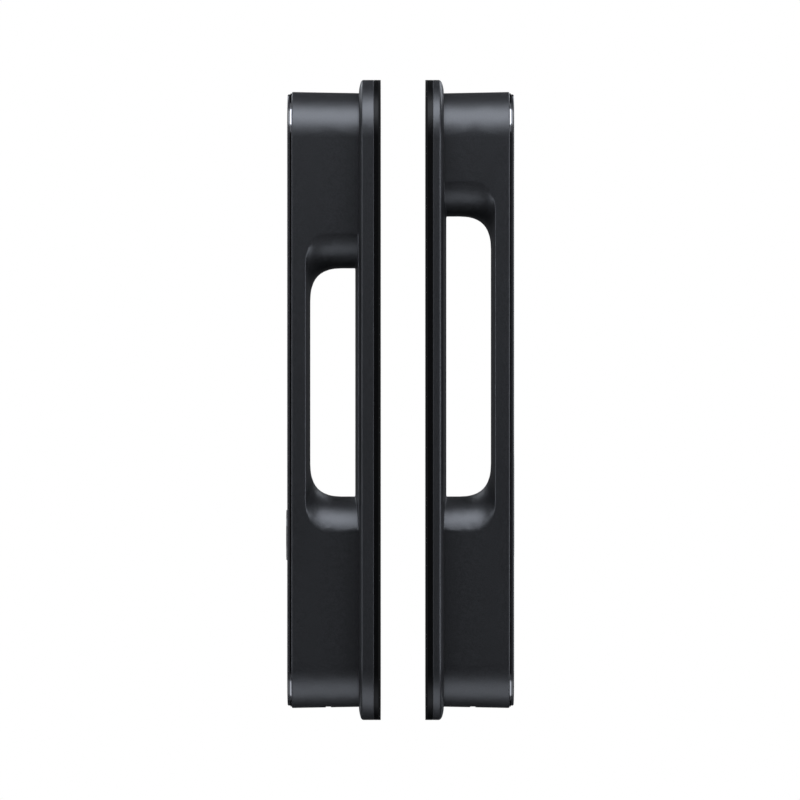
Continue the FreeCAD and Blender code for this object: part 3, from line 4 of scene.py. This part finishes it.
import bmesh
import bpy
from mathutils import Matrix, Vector

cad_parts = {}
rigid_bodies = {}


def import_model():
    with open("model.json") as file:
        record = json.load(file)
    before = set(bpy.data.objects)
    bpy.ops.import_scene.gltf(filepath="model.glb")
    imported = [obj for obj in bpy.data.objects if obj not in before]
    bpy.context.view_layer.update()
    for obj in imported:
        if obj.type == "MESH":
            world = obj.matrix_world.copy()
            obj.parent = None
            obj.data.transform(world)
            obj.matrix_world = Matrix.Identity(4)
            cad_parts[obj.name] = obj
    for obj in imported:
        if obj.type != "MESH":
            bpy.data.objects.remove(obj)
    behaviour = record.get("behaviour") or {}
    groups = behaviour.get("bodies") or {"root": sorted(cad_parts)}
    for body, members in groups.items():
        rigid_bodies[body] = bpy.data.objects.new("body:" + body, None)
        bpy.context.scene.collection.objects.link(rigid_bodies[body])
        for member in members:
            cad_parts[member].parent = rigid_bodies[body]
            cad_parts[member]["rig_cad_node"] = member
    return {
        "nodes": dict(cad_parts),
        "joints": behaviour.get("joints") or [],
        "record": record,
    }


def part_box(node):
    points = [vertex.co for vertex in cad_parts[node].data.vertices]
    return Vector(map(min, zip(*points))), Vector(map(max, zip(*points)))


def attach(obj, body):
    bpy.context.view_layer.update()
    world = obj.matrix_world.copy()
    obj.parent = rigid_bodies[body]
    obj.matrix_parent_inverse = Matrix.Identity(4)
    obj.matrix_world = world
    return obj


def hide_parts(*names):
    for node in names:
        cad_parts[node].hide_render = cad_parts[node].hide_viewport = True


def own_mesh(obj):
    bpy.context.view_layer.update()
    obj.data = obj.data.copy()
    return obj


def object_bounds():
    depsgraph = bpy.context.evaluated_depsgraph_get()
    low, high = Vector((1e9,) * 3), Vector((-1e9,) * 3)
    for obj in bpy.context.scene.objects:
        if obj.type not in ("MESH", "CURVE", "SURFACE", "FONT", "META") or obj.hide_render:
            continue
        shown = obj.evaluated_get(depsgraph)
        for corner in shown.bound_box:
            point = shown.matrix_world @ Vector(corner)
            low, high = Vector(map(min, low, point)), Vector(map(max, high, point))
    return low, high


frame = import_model()
cad_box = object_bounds()

MM = 0.001


# ---- shader tools --------------------------------------------------------------------------------


class Value:
    """A socket whose arithmetic adds the Math nodes that it needs."""

    def __init__(self, graph, socket):
        self.graph = graph
        self.socket = socket

    def math(self, operation, first, second):
        return self.graph.node("ShaderNodeMath", {"operation": operation}, [first, second])

    def __add__(self, other):
        return self.math("ADD", self, other)

    def __radd__(self, other):
        return self.math("ADD", other, self)

    def __sub__(self, other):
        return self.math("SUBTRACT", self, other)

    def __rsub__(self, other):
        return self.math("SUBTRACT", other, self)

    def __mul__(self, other):
        return self.math("MULTIPLY", self, other)

    def __rmul__(self, other):
        return self.math("MULTIPLY", other, self)

    def __truediv__(self, other):
        return self.math("DIVIDE", self, other)

    def above(self, edge):
        return self.math("GREATER_THAN", self, edge)

    def larger(self, other):
        return self.math("MAXIMUM", self, other)

    def clamped(self):
        return self.graph.node("ShaderNodeClamp", {}, [self, 0.0, 1.0])


class Graph:
    """A node tree, and the one method that adds a node to it."""

    def __init__(self, tree):
        self.tree = tree

    def put(self, socket, value):
        """Link a value to a socket, or set the socket to a constant."""
        if isinstance(value, Value):
            self.tree.links.new(value.socket, socket)
        elif value is not None:
            socket.default_value = value

    def node(self, kind, settings, inputs=(), output=0):
        """Add a node: its settings first, then its sockets by order or by name."""
        node = self.tree.nodes.new(kind)
        for name, value in settings.items():
            setattr(node, name, value)
        pairs = inputs.items() if isinstance(inputs, dict) else enumerate(inputs)
        for key, value in pairs:
            self.put(node.inputs[key], value)
        return Value(self, node.outputs[output]) if node.outputs else None


class Paint(Graph):
    """A material: one Principled shader, with short names for the nodes that finishes use."""

    def __init__(self, name, **settings):
        self.material = bpy.data.materials.new(name)
        self.material.use_nodes = True
        super().__init__(self.material.node_tree)
        self.shader = self.tree.nodes["Principled BSDF"]
        self.set(**settings)

    def set(self, **settings):
        """Values or links of the Principled shader, named in lower case with underscores."""
        for name, value in settings.items():
            self.put(self.shader.inputs[name.replace("_", " ").title().replace("Ior", "IOR")], value)

    def place(self):
        """The point on the object, in metres."""
        return self.node("ShaderNodeTexCoord", {}, (), "Object")

    def surface_normal(self):
        """The way the surface faces."""
        return self.node("ShaderNodeNewGeometry", {}, (), "Normal")

    def dot(self, first, second):
        """How far two directions agree."""
        return self.node("ShaderNodeVectorMath", {"operation": "DOT_PRODUCT"}, [first, second], "Value")

    def noise(self, size, detail=2.0, roughness=0.5, stretch=None):
        """Soft noise whose grains are about this many metres across."""
        vector = self.place()
        if stretch:
            vector = self.node("ShaderNodeVectorMath", {"operation": "MULTIPLY"}, [vector, stretch])
        inputs = {"Vector": vector, "Scale": 1 / size, "Detail": detail, "Roughness": roughness}
        return self.node("ShaderNodeTexNoise", {}, inputs, "Fac")

    def mix(self, factor, first, second):
        """Blend two colours."""
        inputs = {"Factor": factor, 6: first, 7: second}
        return self.node("ShaderNodeMix", {"data_type": "RGBA"}, inputs, 2)

    def rounded_edge(self, radius):
        """A normal that rounds every edge by a radius."""
        return self.node("ShaderNodeBevel", {"samples": 6}, {"Radius": radius}, "Normal")

    def bump(self, height, depth, strength=1.0, normal=None):
        """A normal roughened by a height from 0 to 1 that stands for a depth in metres."""
        inputs = {"Height": height, "Distance": depth, "Strength": strength, "Normal": normal}
        return self.node("ShaderNodeBump", {}, inputs)


def rgb(red, green, blue):
    return (red, green, blue, 1.0)


# ---- finishes ------------------------------------------------------------------------------------


def sandblasted_black():
    """Fine blasted and anodised casting: a cool dark grey with grain and softly rounded edges, painted
    paler along every edge as a painted highlight.
    """
    paint = Paint("sandblasted_black", roughness=0.42, ior=1.7, specular_tint=rgb(0.93, 0.955, 1.0))
    grain = paint.noise(0.6 * MM, detail=2.0, roughness=0.7)
    cloud = paint.noise(0.045, detail=1.0)
    fine = paint.noise(0.25 * MM, detail=1.0)
    rounded = paint.rounded_edge(0.6 * MM)
    # painted highlight: a mask that is 1 on the rounded edges, where the side lamps' highlight lines fall
    edge_highlight = ((1 - paint.dot(rounded, paint.surface_normal())) * 3.5).clamped()
    tone = ((grain - 0.5) * 5.0 + 0.5 + (cloud - 0.5) * 0.3).clamped()
    coat = paint.mix(tone, rgb(0.0024, 0.0024, 0.0026), rgb(0.0132, 0.0133, 0.0143))
    # the paler colour on the edges is a painted highlight
    paint.set(base_color=paint.mix(edge_highlight, coat, rgb(0.200, 0.205, 0.225)))
    paint.set(roughness=0.37 + grain * 0.10)
    paint.set(normal=paint.bump(grain * 0.7 + fine * 0.3, 0.00005, 0.35, rounded))
    return paint.material


def coated_steel():
    """Satin black coat on the flat mounting plate."""
    paint = Paint("coated_steel", roughness=0.4, ior=1.25)
    grain = paint.noise(0.0012, detail=2.0)
    paint.set(base_color=paint.mix(grain, rgb(0.0006, 0.0006, 0.0007), rgb(0.0014, 0.0014, 0.0015)))
    paint.set(roughness=0.34 + grain * 0.12)
    paint.set(normal=paint.bump(grain, 0.00004, 0.3))
    return paint.material


def black_rubber():
    """Matte rubber with a dusty bloom."""
    paint = Paint("black_rubber", roughness=0.8, ior=1.2)
    grain = paint.noise(0.0015, detail=4.0)
    bloom = paint.noise(0.02, detail=2.0)
    tone = (grain * 0.5 + bloom * 0.5).clamped()
    paint.set(base_color=paint.mix(tone, rgb(0.0026, 0.0026, 0.0026), rgb(0.0062, 0.0062, 0.0063)))
    paint.set(roughness=0.7 + bloom * 0.2)
    paint.set(normal=paint.bump(grain, 0.0001, 0.4))
    return paint.material


def black_glass():
    """Back-painted glass: almost black, with a hard polish and faint waviness; its side faces are rougher
    and painted greyer as a painted reflection.
    """
    paint = Paint("black_glass", roughness=0.04, ior=1.6)
    sheet = paint.noise(0.06, detail=1.0)
    smear = paint.noise(0.018, detail=3.0, stretch=(1.0, 1.0, 0.4))
    facing = paint.dot(paint.surface_normal(), (1.0, 0.0, 0.0))
    edge = ((0.75 - facing * facing) * 4).clamped()
    face = paint.mix(sheet, rgb(0.0030, 0.0030, 0.0034), rgb(0.0046, 0.0046, 0.0052))
    # painted reflection: the side faces are painted greyer in place of the sheen the curved edge reflects
    edge_sheen = paint.mix(sheet, rgb(0.0200, 0.0200, 0.0215), rgb(0.0280, 0.0280, 0.0300))
    paint.set(base_color=paint.mix(edge, face, edge_sheen))
    paint.set(roughness=0.03 + smear * 0.05 + edge * 0.12)
    paint.set(normal=paint.bump(sheet, 0.00003, 0.1))
    return paint.material


def polished_trim():
    """Dark plated trim with a mirror polish, round the glass."""
    paint = Paint("polished_trim", roughness=0.1, metallic=1.0)
    cloud = paint.noise(0.01, detail=2.0)
    rub = paint.noise(0.0012, detail=2.0)
    paint.set(base_color=paint.mix(cloud, rgb(0.26, 0.26, 0.27), rgb(0.34, 0.34, 0.35)))
    paint.set(roughness=0.09 + rub * 0.06)
    paint.set(normal=paint.bump(rub, 0.00001, 0.1))
    return paint.material


def gloss_black():
    """Moulded gloss plastic with the slight orange peel of a moulding."""
    paint = Paint("gloss_black", roughness=0.12, ior=1.49)
    peel = paint.noise(0.0022, detail=1.0)
    cloud = paint.noise(0.02, detail=1.0)
    paint.set(base_color=paint.mix(cloud, rgb(0.0040, 0.0040, 0.0040), rgb(0.0064, 0.0064, 0.0068)))
    paint.set(roughness=0.12 + cloud * 0.05)
    paint.set(normal=paint.bump(peel, 0.00002, 0.2))
    return paint.material


def textured_black():
    """Matte moulding with a spark-eroded texture."""
    paint = Paint("textured_black", roughness=0.55, ior=1.48)
    grain = paint.noise(0.0006, detail=3.0, roughness=0.7)
    paint.set(base_color=paint.mix(grain, rgb(0.007, 0.007, 0.0075), rgb(0.017, 0.017, 0.018)))
    paint.set(roughness=0.5 + grain * 0.15)
    paint.set(normal=paint.bump(grain, 0.0001, 0.5))
    return paint.material


def machined_metal(name, dark, light, roughness, stretch):
    """Bare metal with the fine lines that its cutting leaves."""
    paint = Paint(name, roughness=roughness, metallic=1.0)
    lines = paint.noise(0.0006, detail=2.0, stretch=stretch)
    cloud = paint.noise(0.012, detail=2.0)
    paint.set(base_color=paint.mix((lines * 0.6 + cloud * 0.4).clamped(), dark, light))
    paint.set(roughness=roughness + lines * 0.12)
    paint.set(normal=paint.bump(lines, 0.00004, 0.3))
    return paint.material


def circuit_board():
    """Green solder mask crossed by paler copper runs."""
    paint = Paint("circuit_board", roughness=0.35, ior=1.5, coat_weight=0.3)
    places = {"Vector": paint.place(), "Scale": 260.0}
    cells = paint.node("ShaderNodeTexVoronoi", {"distance": "MANHATTAN"}, places)
    tracks = cells.above(0.42)
    cloud = paint.noise(0.01, detail=2.0)
    mask = paint.mix(cloud, rgb(0.006, 0.055, 0.022), rgb(0.010, 0.080, 0.034))
    paint.set(base_color=paint.mix(tracks * 0.6, mask, rgb(0.03, 0.17, 0.07)))
    paint.set(roughness=0.3 + cloud * 0.15)
    paint.set(normal=paint.bump(tracks, 0.00005, 0.4))
    return paint.material


def battery_wrap():
    """Dark shrink wrap over cells."""
    paint = Paint("battery_wrap", roughness=0.4, ior=1.5)
    crease = paint.noise(0.006, detail=3.0, stretch=(1.0, 0.3, 1.0))
    paint.set(base_color=paint.mix(crease, rgb(0.016, 0.022, 0.034), rgb(0.030, 0.040, 0.060)))
    paint.set(roughness=0.32 + crease * 0.2)
    paint.set(normal=paint.bump(crease, 0.0002, 0.4))
    return paint.material


def lit_print(name, colour, strength):
    """Pale print that is lit softly from behind."""
    paint = Paint(name, roughness=0.5)
    even = paint.noise(0.004, detail=1.0)
    paint.set(base_color=paint.mix(even, rgb(0.55, 0.57, 0.60), rgb(0.62, 0.64, 0.67)))
    paint.set(emission_color=colour, emission_strength=strength)
    return paint.material


EVEN = (1.0, 1.0, 1.0)
TURNED = (4.0, 1.0, 1.0)
FINISHES = {
    "body_finish": sandblasted_black(),
    "plate_finish": coated_steel(),
    "rubber": black_rubber(),
    "black_glass": black_glass(),
    "gloss_black": gloss_black(),
    "matt_black": textured_black(),
    "steel": machined_metal("machined_steel", rgb(0.42, 0.42, 0.43), rgb(0.60, 0.60, 0.61), 0.25, TURNED),
    "zinc": machined_metal("cast_zinc", rgb(0.34, 0.35, 0.37), rgb(0.48, 0.49, 0.51), 0.42, EVEN),
    "bronze": machined_metal("sintered_bronze", rgb(0.36, 0.22, 0.10), rgb(0.52, 0.34, 0.17), 0.40, EVEN),
    "circuit": circuit_board(),
    "gold": machined_metal("gold_contact", rgb(0.75, 0.52, 0.18), rgb(0.90, 0.66, 0.28), 0.22, EVEN),
    "cell_wrap": battery_wrap(),
}
TRIM = polished_trim()


# ---- the lock's own parts ------------------------------------------------------------------------

PARTS = frame["record"]["subparts"]
SLOT_OF = {part["node"]: part["material_slot"] for part in PARTS}
BODY_OF = {
    node: body for body, members in frame["record"]["behaviour"]["bodies"].items() for node in members
}


def joined_faces(crisp_from=32):
    """Joins the separate faces of a CAD mesh and keeps crisp only the edges sharper than an angle."""
    group = bpy.data.node_groups.new("joined_faces", "GeometryNodeTree")
    for way in ("INPUT", "OUTPUT"):
        group.interface.new_socket("Geometry", in_out=way, socket_type="NodeSocketGeometry")
    graph = Graph(group)
    mesh = graph.node("NodeGroupInput", {})
    plain = graph.node("GeometryNodeRemoveAttribute", {}, {"Geometry": mesh, "Name": "custom_normal"})
    joined = graph.node("GeometryNodeMergeByDistance", {}, {"Geometry": plain, "Distance": 0.001 * MM})
    angle = graph.node("GeometryNodeInputMeshEdgeAngle", {}, (), "Unsigned Angle")
    limit = {"A": angle, "B": math.radians(crisp_from)}
    gentle = graph.node("FunctionNodeCompare", {"operation": "LESS_THAN"}, limit, "Result")
    faces = graph.node("GeometryNodeSetShadeSmooth", {}, {"Geometry": joined})
    smooth_edges = {"Geometry": faces, "Shade Smooth": gentle}
    edges = graph.node("GeometryNodeSetShadeSmooth", {"domain": "EDGE"}, smooth_edges)
    graph.node("NodeGroupOutput", {}, [edges])
    return group


JOINED_FACES = joined_faces()


def smooth(piece):
    """Smooth shading with crisp edges, and flat faces kept flat."""
    joined = piece.modifiers.new("joined_faces", "NODES")
    joined.node_group = JOINED_FACES
    weighted = piece.modifiers.new("flat_faces", "WEIGHTED_NORMAL")
    weighted.keep_sharp = True
    weighted.weight = 100


def finish(node):
    """Give a part its finish. The rims round the glass are in the gloss slot, and are polished trim."""
    piece = frame["nodes"][node]
    piece.data.materials.clear()
    piece.data.materials.append(TRIM if node.endswith("face_frame") else FINISHES[SLOT_OF[node]])
    smooth(piece)


for part in PARTS:
    finish(part["node"])


# ---- springs, copied onto their bodies -------------------------------------------------------------


def spring_that_shortens(node):
    """A copy of a wound spring with its own mesh, carried by the spring's body, in place of the hidden CAD
    spring.
    """
    coil = frame["nodes"][node].copy()
    coil.name = node + "_coils"
    del coil["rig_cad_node"]
    bpy.context.scene.collection.objects.link(coil)
    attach(coil, BODY_OF[node])
    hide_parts(node)
    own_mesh(coil)


for joint in frame["joints"]:
    for spring in joint.get("deforming_nodes", []):
        spring_that_shortens(spring["node"])


# ---- marks on the glass and the keys ---------------------------------------------------------------

MARK_HEIGHT = 0.02 * MM


def flat_mark(name, loops, node, centre, material):
    """A thin raised print from closed outlines in millimetres. Inner loops are holes."""
    curve = bpy.data.curves.new(name, "CURVE")
    curve.dimensions = "2D"
    curve.fill_mode = "BOTH"
    curve.extrude = MARK_HEIGHT
    for loop in loops:
        spline = curve.splines.new("POLY")
        spline.points.add(len(loop) - 1)
        for point, (across, up) in zip(spline.points, loop):
            point.co = (across * MM, up * MM, 0, 1)
        spline.use_cyclic_u = True
    return set_print(name, curve, node, centre, material)


def letter_mark(name, letter, size, node, centre, material):
    """One printed figure."""
    curve = bpy.data.curves.new(name, "FONT")
    curve.body = letter
    curve.size = size
    curve.extrude = MARK_HEIGHT
    curve.resolution_u = 6
    curve.align_x = "CENTER"
    curve.align_y = "CENTER"
    return set_print(name, curve, node, centre, material)


def closed_mesh(name, curve):
    """The mesh of a filled curve, its caps and walls welded together."""
    sketch = bpy.data.objects.new(name + "_sketch", curve)
    bpy.context.scene.collection.objects.link(sketch)
    mesh = bpy.data.meshes.new_from_object(sketch.evaluated_get(bpy.context.evaluated_depsgraph_get()))
    bpy.data.objects.remove(sketch)
    mesh.name = name
    shape = bmesh.new()
    shape.from_mesh(mesh)
    bmesh.ops.remove_doubles(shape, verts=shape.verts, dist=0.0001 * MM)
    return mesh, shape


def set_print(name, curve, node, centre, material):
    """Sets a flat curve on the outer face of a part, upright and readable, with half its height buried."""
    mesh, shape = closed_mesh(name, curve)
    outdoors = node.startswith("outer")
    near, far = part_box(node)
    face = near.x if outdoors else far.x
    hand = -1 if outdoors else 1
    for point in shape.verts:
        across, up, out = point.co
        point.co = (face + hand * out, hand * (across + centre[0]), up + centre[1])
    bmesh.ops.recalc_face_normals(shape, faces=shape.faces)
    shape.to_mesh(mesh)
    shape.free()
    mesh.materials.clear()
    mesh.materials.append(material)
    piece = bpy.data.objects.new(name, mesh)
    bpy.context.scene.collection.objects.link(piece)
    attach(piece, BODY_OF[node])
    return piece


def arc(centre, radius, start, end, steps=24):
    """Points along a round, with its angles in degrees."""
    turns = [math.radians(start + (end - start) * step / steps) for step in range(steps + 1)]
    return [(centre[0] + radius * math.cos(turn), centre[1] + radius * math.sin(turn)) for turn in turns]


def round_bar(half_width, half_height, corner, up=0.0):
    """A rounded rectangle."""
    points = []
    for quarter, (side, rise) in enumerate(((1, 1), (-1, 1), (-1, -1), (1, -1))):
        middle = (side * (half_width - corner), up + rise * (half_height - corner))
        points += arc(middle, corner, quarter * 90, quarter * 90 + 90, 6)
    return points


def bell_outline():
    """A plain hand bell seen from the side, its clapper below."""
    right = [(0.9, 4.6), *arc((0, 2.0), 2.6, 60, 5, 10), (2.9, -0.6), (4.1, -2.0), (4.1, -2.6)]
    left = [(-across, up) for across, up in reversed(right)]
    return [right + left, arc((0, -3.1), 1.25, 180, 360, 14)]


def padlock_outline(is_open):
    """A plain padlock: body, keyhole and shackle, which is raised on one side when open."""
    lift = 1.3 if is_open else 0.0
    foot = 0.9 if is_open else 0.2
    bow = (0, 1.2 + lift)
    outside = [(2.1, foot), *arc(bow, 2.1, 0, 180), (-2.1, 0.2)]
    inside = [(-1.35, 0.2), *arc(bow, 1.35, 180, 0), (1.35, foot)]
    return [round_bar(3.1, 2.3, 0.6, -2.15), arc((0, -2.0), 0.55, 0, 345, 16), outside + inside]


KEYS = "123456789*0#"
FIGURE_SIZE = 9.5 * MM
STAR_SIZE = 15 * MM
STAR_DROP = 3.2 * MM
RING_RADIUS = 11.6
RING_LINE = 0.4


def print_keypad(material):
    """Three columns and four rows of figures over the keypad board, with the star enlarged to match."""
    low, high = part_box("outer_keypad_board")
    middle = (low.z + high.z) / 2
    column, row = (high.y - low.y) * 0.33, (high.z - low.z) * 0.245
    for number, letter in enumerate(KEYS):
        star = letter == "*"
        up = middle + (1.5 - number // 3) * row - (STAR_DROP if star else 0)
        place = ((number % 3 - 1) * column, up)
        size = STAR_SIZE if star else FIGURE_SIZE
        letter_mark(f"figure_{number}", letter, size, "outer_glass_panel", place, material)


def middle_of(node):
    """The middle of a part across and up."""
    low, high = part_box(node)
    return 0, (low.z + high.z) / 2


def print_marks():
    """Figures on the keypad, and plain signs for the bell, the finger place and the two keys."""
    lit = lit_print("lit_figures", rgb(0.80, 0.90, 1.0), 0.55)
    pale = lit_print("pale_print", rgb(0.80, 0.90, 1.0), 0.0)
    print_keypad(lit)
    ring = [arc((0, 0), radius, 0, 355, 71) for radius in (RING_RADIUS, RING_RADIUS - RING_LINE)]
    flat_mark("finger_ring", ring, "outer_glass_panel", middle_of("outer_fingerprint_sensor"), lit)
    for name, outline, node in (
        ("bell_sign", bell_outline(), "outer_bell_button"),
        ("open_sign", padlock_outline(True), "inner_open_key"),
        ("lock_sign", padlock_outline(False), "inner_lock_key"),
    ):
        flat_mark(name, outline, node, middle_of(node), pale)


print_marks()


# ---- studio --------------------------------------------------------------------------------------

low, high = (Vector(corner) for corner in cad_box)
DOOR_MIDDLE = (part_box("outer_gasket")[1].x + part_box("inner_gasket")[0].x) / 2
MIDDLE = Vector((DOOR_MIDDLE, 0, (low.z + high.z) / 2))
CAMERA_DISTANCE = 6.0
CAMERA_SIDESTEP = -2.04 * MM
VIEW_WIDTH = 0.5375
SENSOR = 36.0
ROOM_GLOSS = 0.005
ROOM_FILL = 0.12
FLOOR_DROP = 1.0
FLOOR_HALF = 2.0
FADE_START = 0.9
FADE_WIDTH = 1.0
COOL = (0.93, 0.97, 1.05)


def add_camera():
    """Long lens square to the side of the lock."""
    data = bpy.data.cameras.new("side_camera")
    data.sensor_width = SENSOR
    data.lens = SENSOR * CAMERA_DISTANCE / VIEW_WIDTH
    data.clip_end = 60.0
    camera = bpy.data.objects.new("side_camera", data)
    camera.location = MIDDLE + Vector((CAMERA_SIDESTEP, -CAMERA_DISTANCE, 0))
    camera.rotation_euler = (math.pi / 2, 0, 0)
    bpy.context.scene.collection.objects.link(camera)
    bpy.context.scene.camera = camera


def add_softbox(name, elevation, azimuth, distance, wide, tall, radiance):
    """An area lamp aimed at the lock. Azimuth 0 is the camera's side, 90 the lock's +X side."""
    data = bpy.data.lights.new(name, "AREA")
    data.shape = "RECTANGLE"
    data.size = wide
    data.size_y = tall
    data.energy = radiance * math.pi * wide * tall
    data.color = COOL
    lamp = bpy.data.objects.new(name, data)
    rise = math.radians(elevation)
    turn = math.radians(azimuth)
    way = Vector((math.sin(turn) * math.cos(rise), -math.cos(turn) * math.cos(rise), math.sin(rise)))
    lamp.location = MIDDLE + way * distance
    lamp.rotation_euler = (-way).to_track_quat("-Z", "Y").to_euler()
    lamp.visible_camera = False
    bpy.context.scene.collection.objects.link(lamp)


def add_world():
    """White to the camera and through glass, a dark room to gloss, and an even fill to the rest."""
    world = bpy.data.worlds.new("studio")
    bpy.context.scene.world = world
    world.use_nodes = True
    graph = Graph(world.node_tree)
    back = graph.tree.nodes["Background"]
    back.inputs["Color"].default_value = rgb(1, 1, 1)
    camera, glossy, through = (
        graph.node("ShaderNodeLightPath", {}, (), ray)
        for ray in ("Is Camera Ray", "Is Glossy Ray", "Is Transmission Ray")
    )
    room = ROOM_FILL - glossy * (ROOM_FILL - ROOM_GLOSS)
    graph.put(back.inputs["Strength"], camera.larger(through).larger(room))


def add_floor():
    """Pale round studio floor that fades out into the white behind it and keeps the lock's shadow."""
    mesh = bpy.data.meshes.new("studio_floor")
    corners = [(-FLOOR_HALF, -FLOOR_HALF, 0), (FLOOR_HALF, -FLOOR_HALF, 0)]
    corners += [(FLOOR_HALF, FLOOR_HALF, 0), (-FLOOR_HALF, FLOOR_HALF, 0)]
    mesh.from_pydata(corners, [], [(0, 1, 2, 3)])
    floor = bpy.data.objects.new("studio_floor", mesh)
    floor.location = (MIDDLE.x, MIDDLE.y, low.z - FLOOR_DROP)
    paint = Paint("pale_floor", roughness=0.8)
    speckle = paint.noise(0.004, detail=3.0)
    paint.set(base_color=paint.mix(speckle, rgb(0.74, 0.74, 0.74), rgb(0.82, 0.82, 0.82)))
    reach = paint.node("ShaderNodeVectorMath", {"operation": "LENGTH"}, [paint.place()], "Value")
    fade = ((reach - FADE_START) / FADE_WIDTH).clamped()
    clear = paint.node("ShaderNodeBsdfTransparent", {})
    blend = paint.node("ShaderNodeMixShader", {}, [fade, Value(paint, paint.shader.outputs[0]), clear])
    paint.put(paint.tree.nodes["Material Output"].inputs["Surface"], blend)
    mesh.materials.append(paint.material)
    bpy.context.scene.collection.objects.link(floor)
    floor.visible_glossy = False


add_camera()
add_world()
add_floor()
# name, elevation and azimuth in degrees, distance, width and height in metres, radiance
for softbox in (
    ("top_softbox", 60, 0, 1.6, 2.0, 1.16, 4.2),
    ("top_halo", 60, 0, 1.65, 2.4, 2.7, 0.35),
    ("low_softbox", -75, 0, 1.1, 1.6, 0.80, 1.25),
    ("low_halo", -75, 0, 1.12, 1.8, 1.7, 0.12),
    ("left_strip", 0, -60, 1.8, 0.8, 1.6, 2.2),
    ("right_strip", 0, 60, 1.8, 0.8, 1.6, 3.3),
    ("left_glow", 5, -112, 1.8, 0.7, 1.2, 0.35),
    ("right_glow", 5, 112, 1.8, 0.7, 1.2, 0.35),
    ("back_left_strip", 0, -122, 1.8, 0.8, 1.6, 2.0),
    ("back_right_strip", 0, 122, 1.8, 0.8, 1.6, 2.0),
    ("back_card", 0, 180, 2.2, 3.2, 2.2, 0.09),
    ("back_left", 35, -145, 1.8, 1.0, 1.0, 2.0),
    ("back_right", 35, 145, 1.8, 1.0, 1.0, 2.0),
):
    add_softbox(*softbox)

bpy.context.scene.view_settings.view_transform = "Standard"
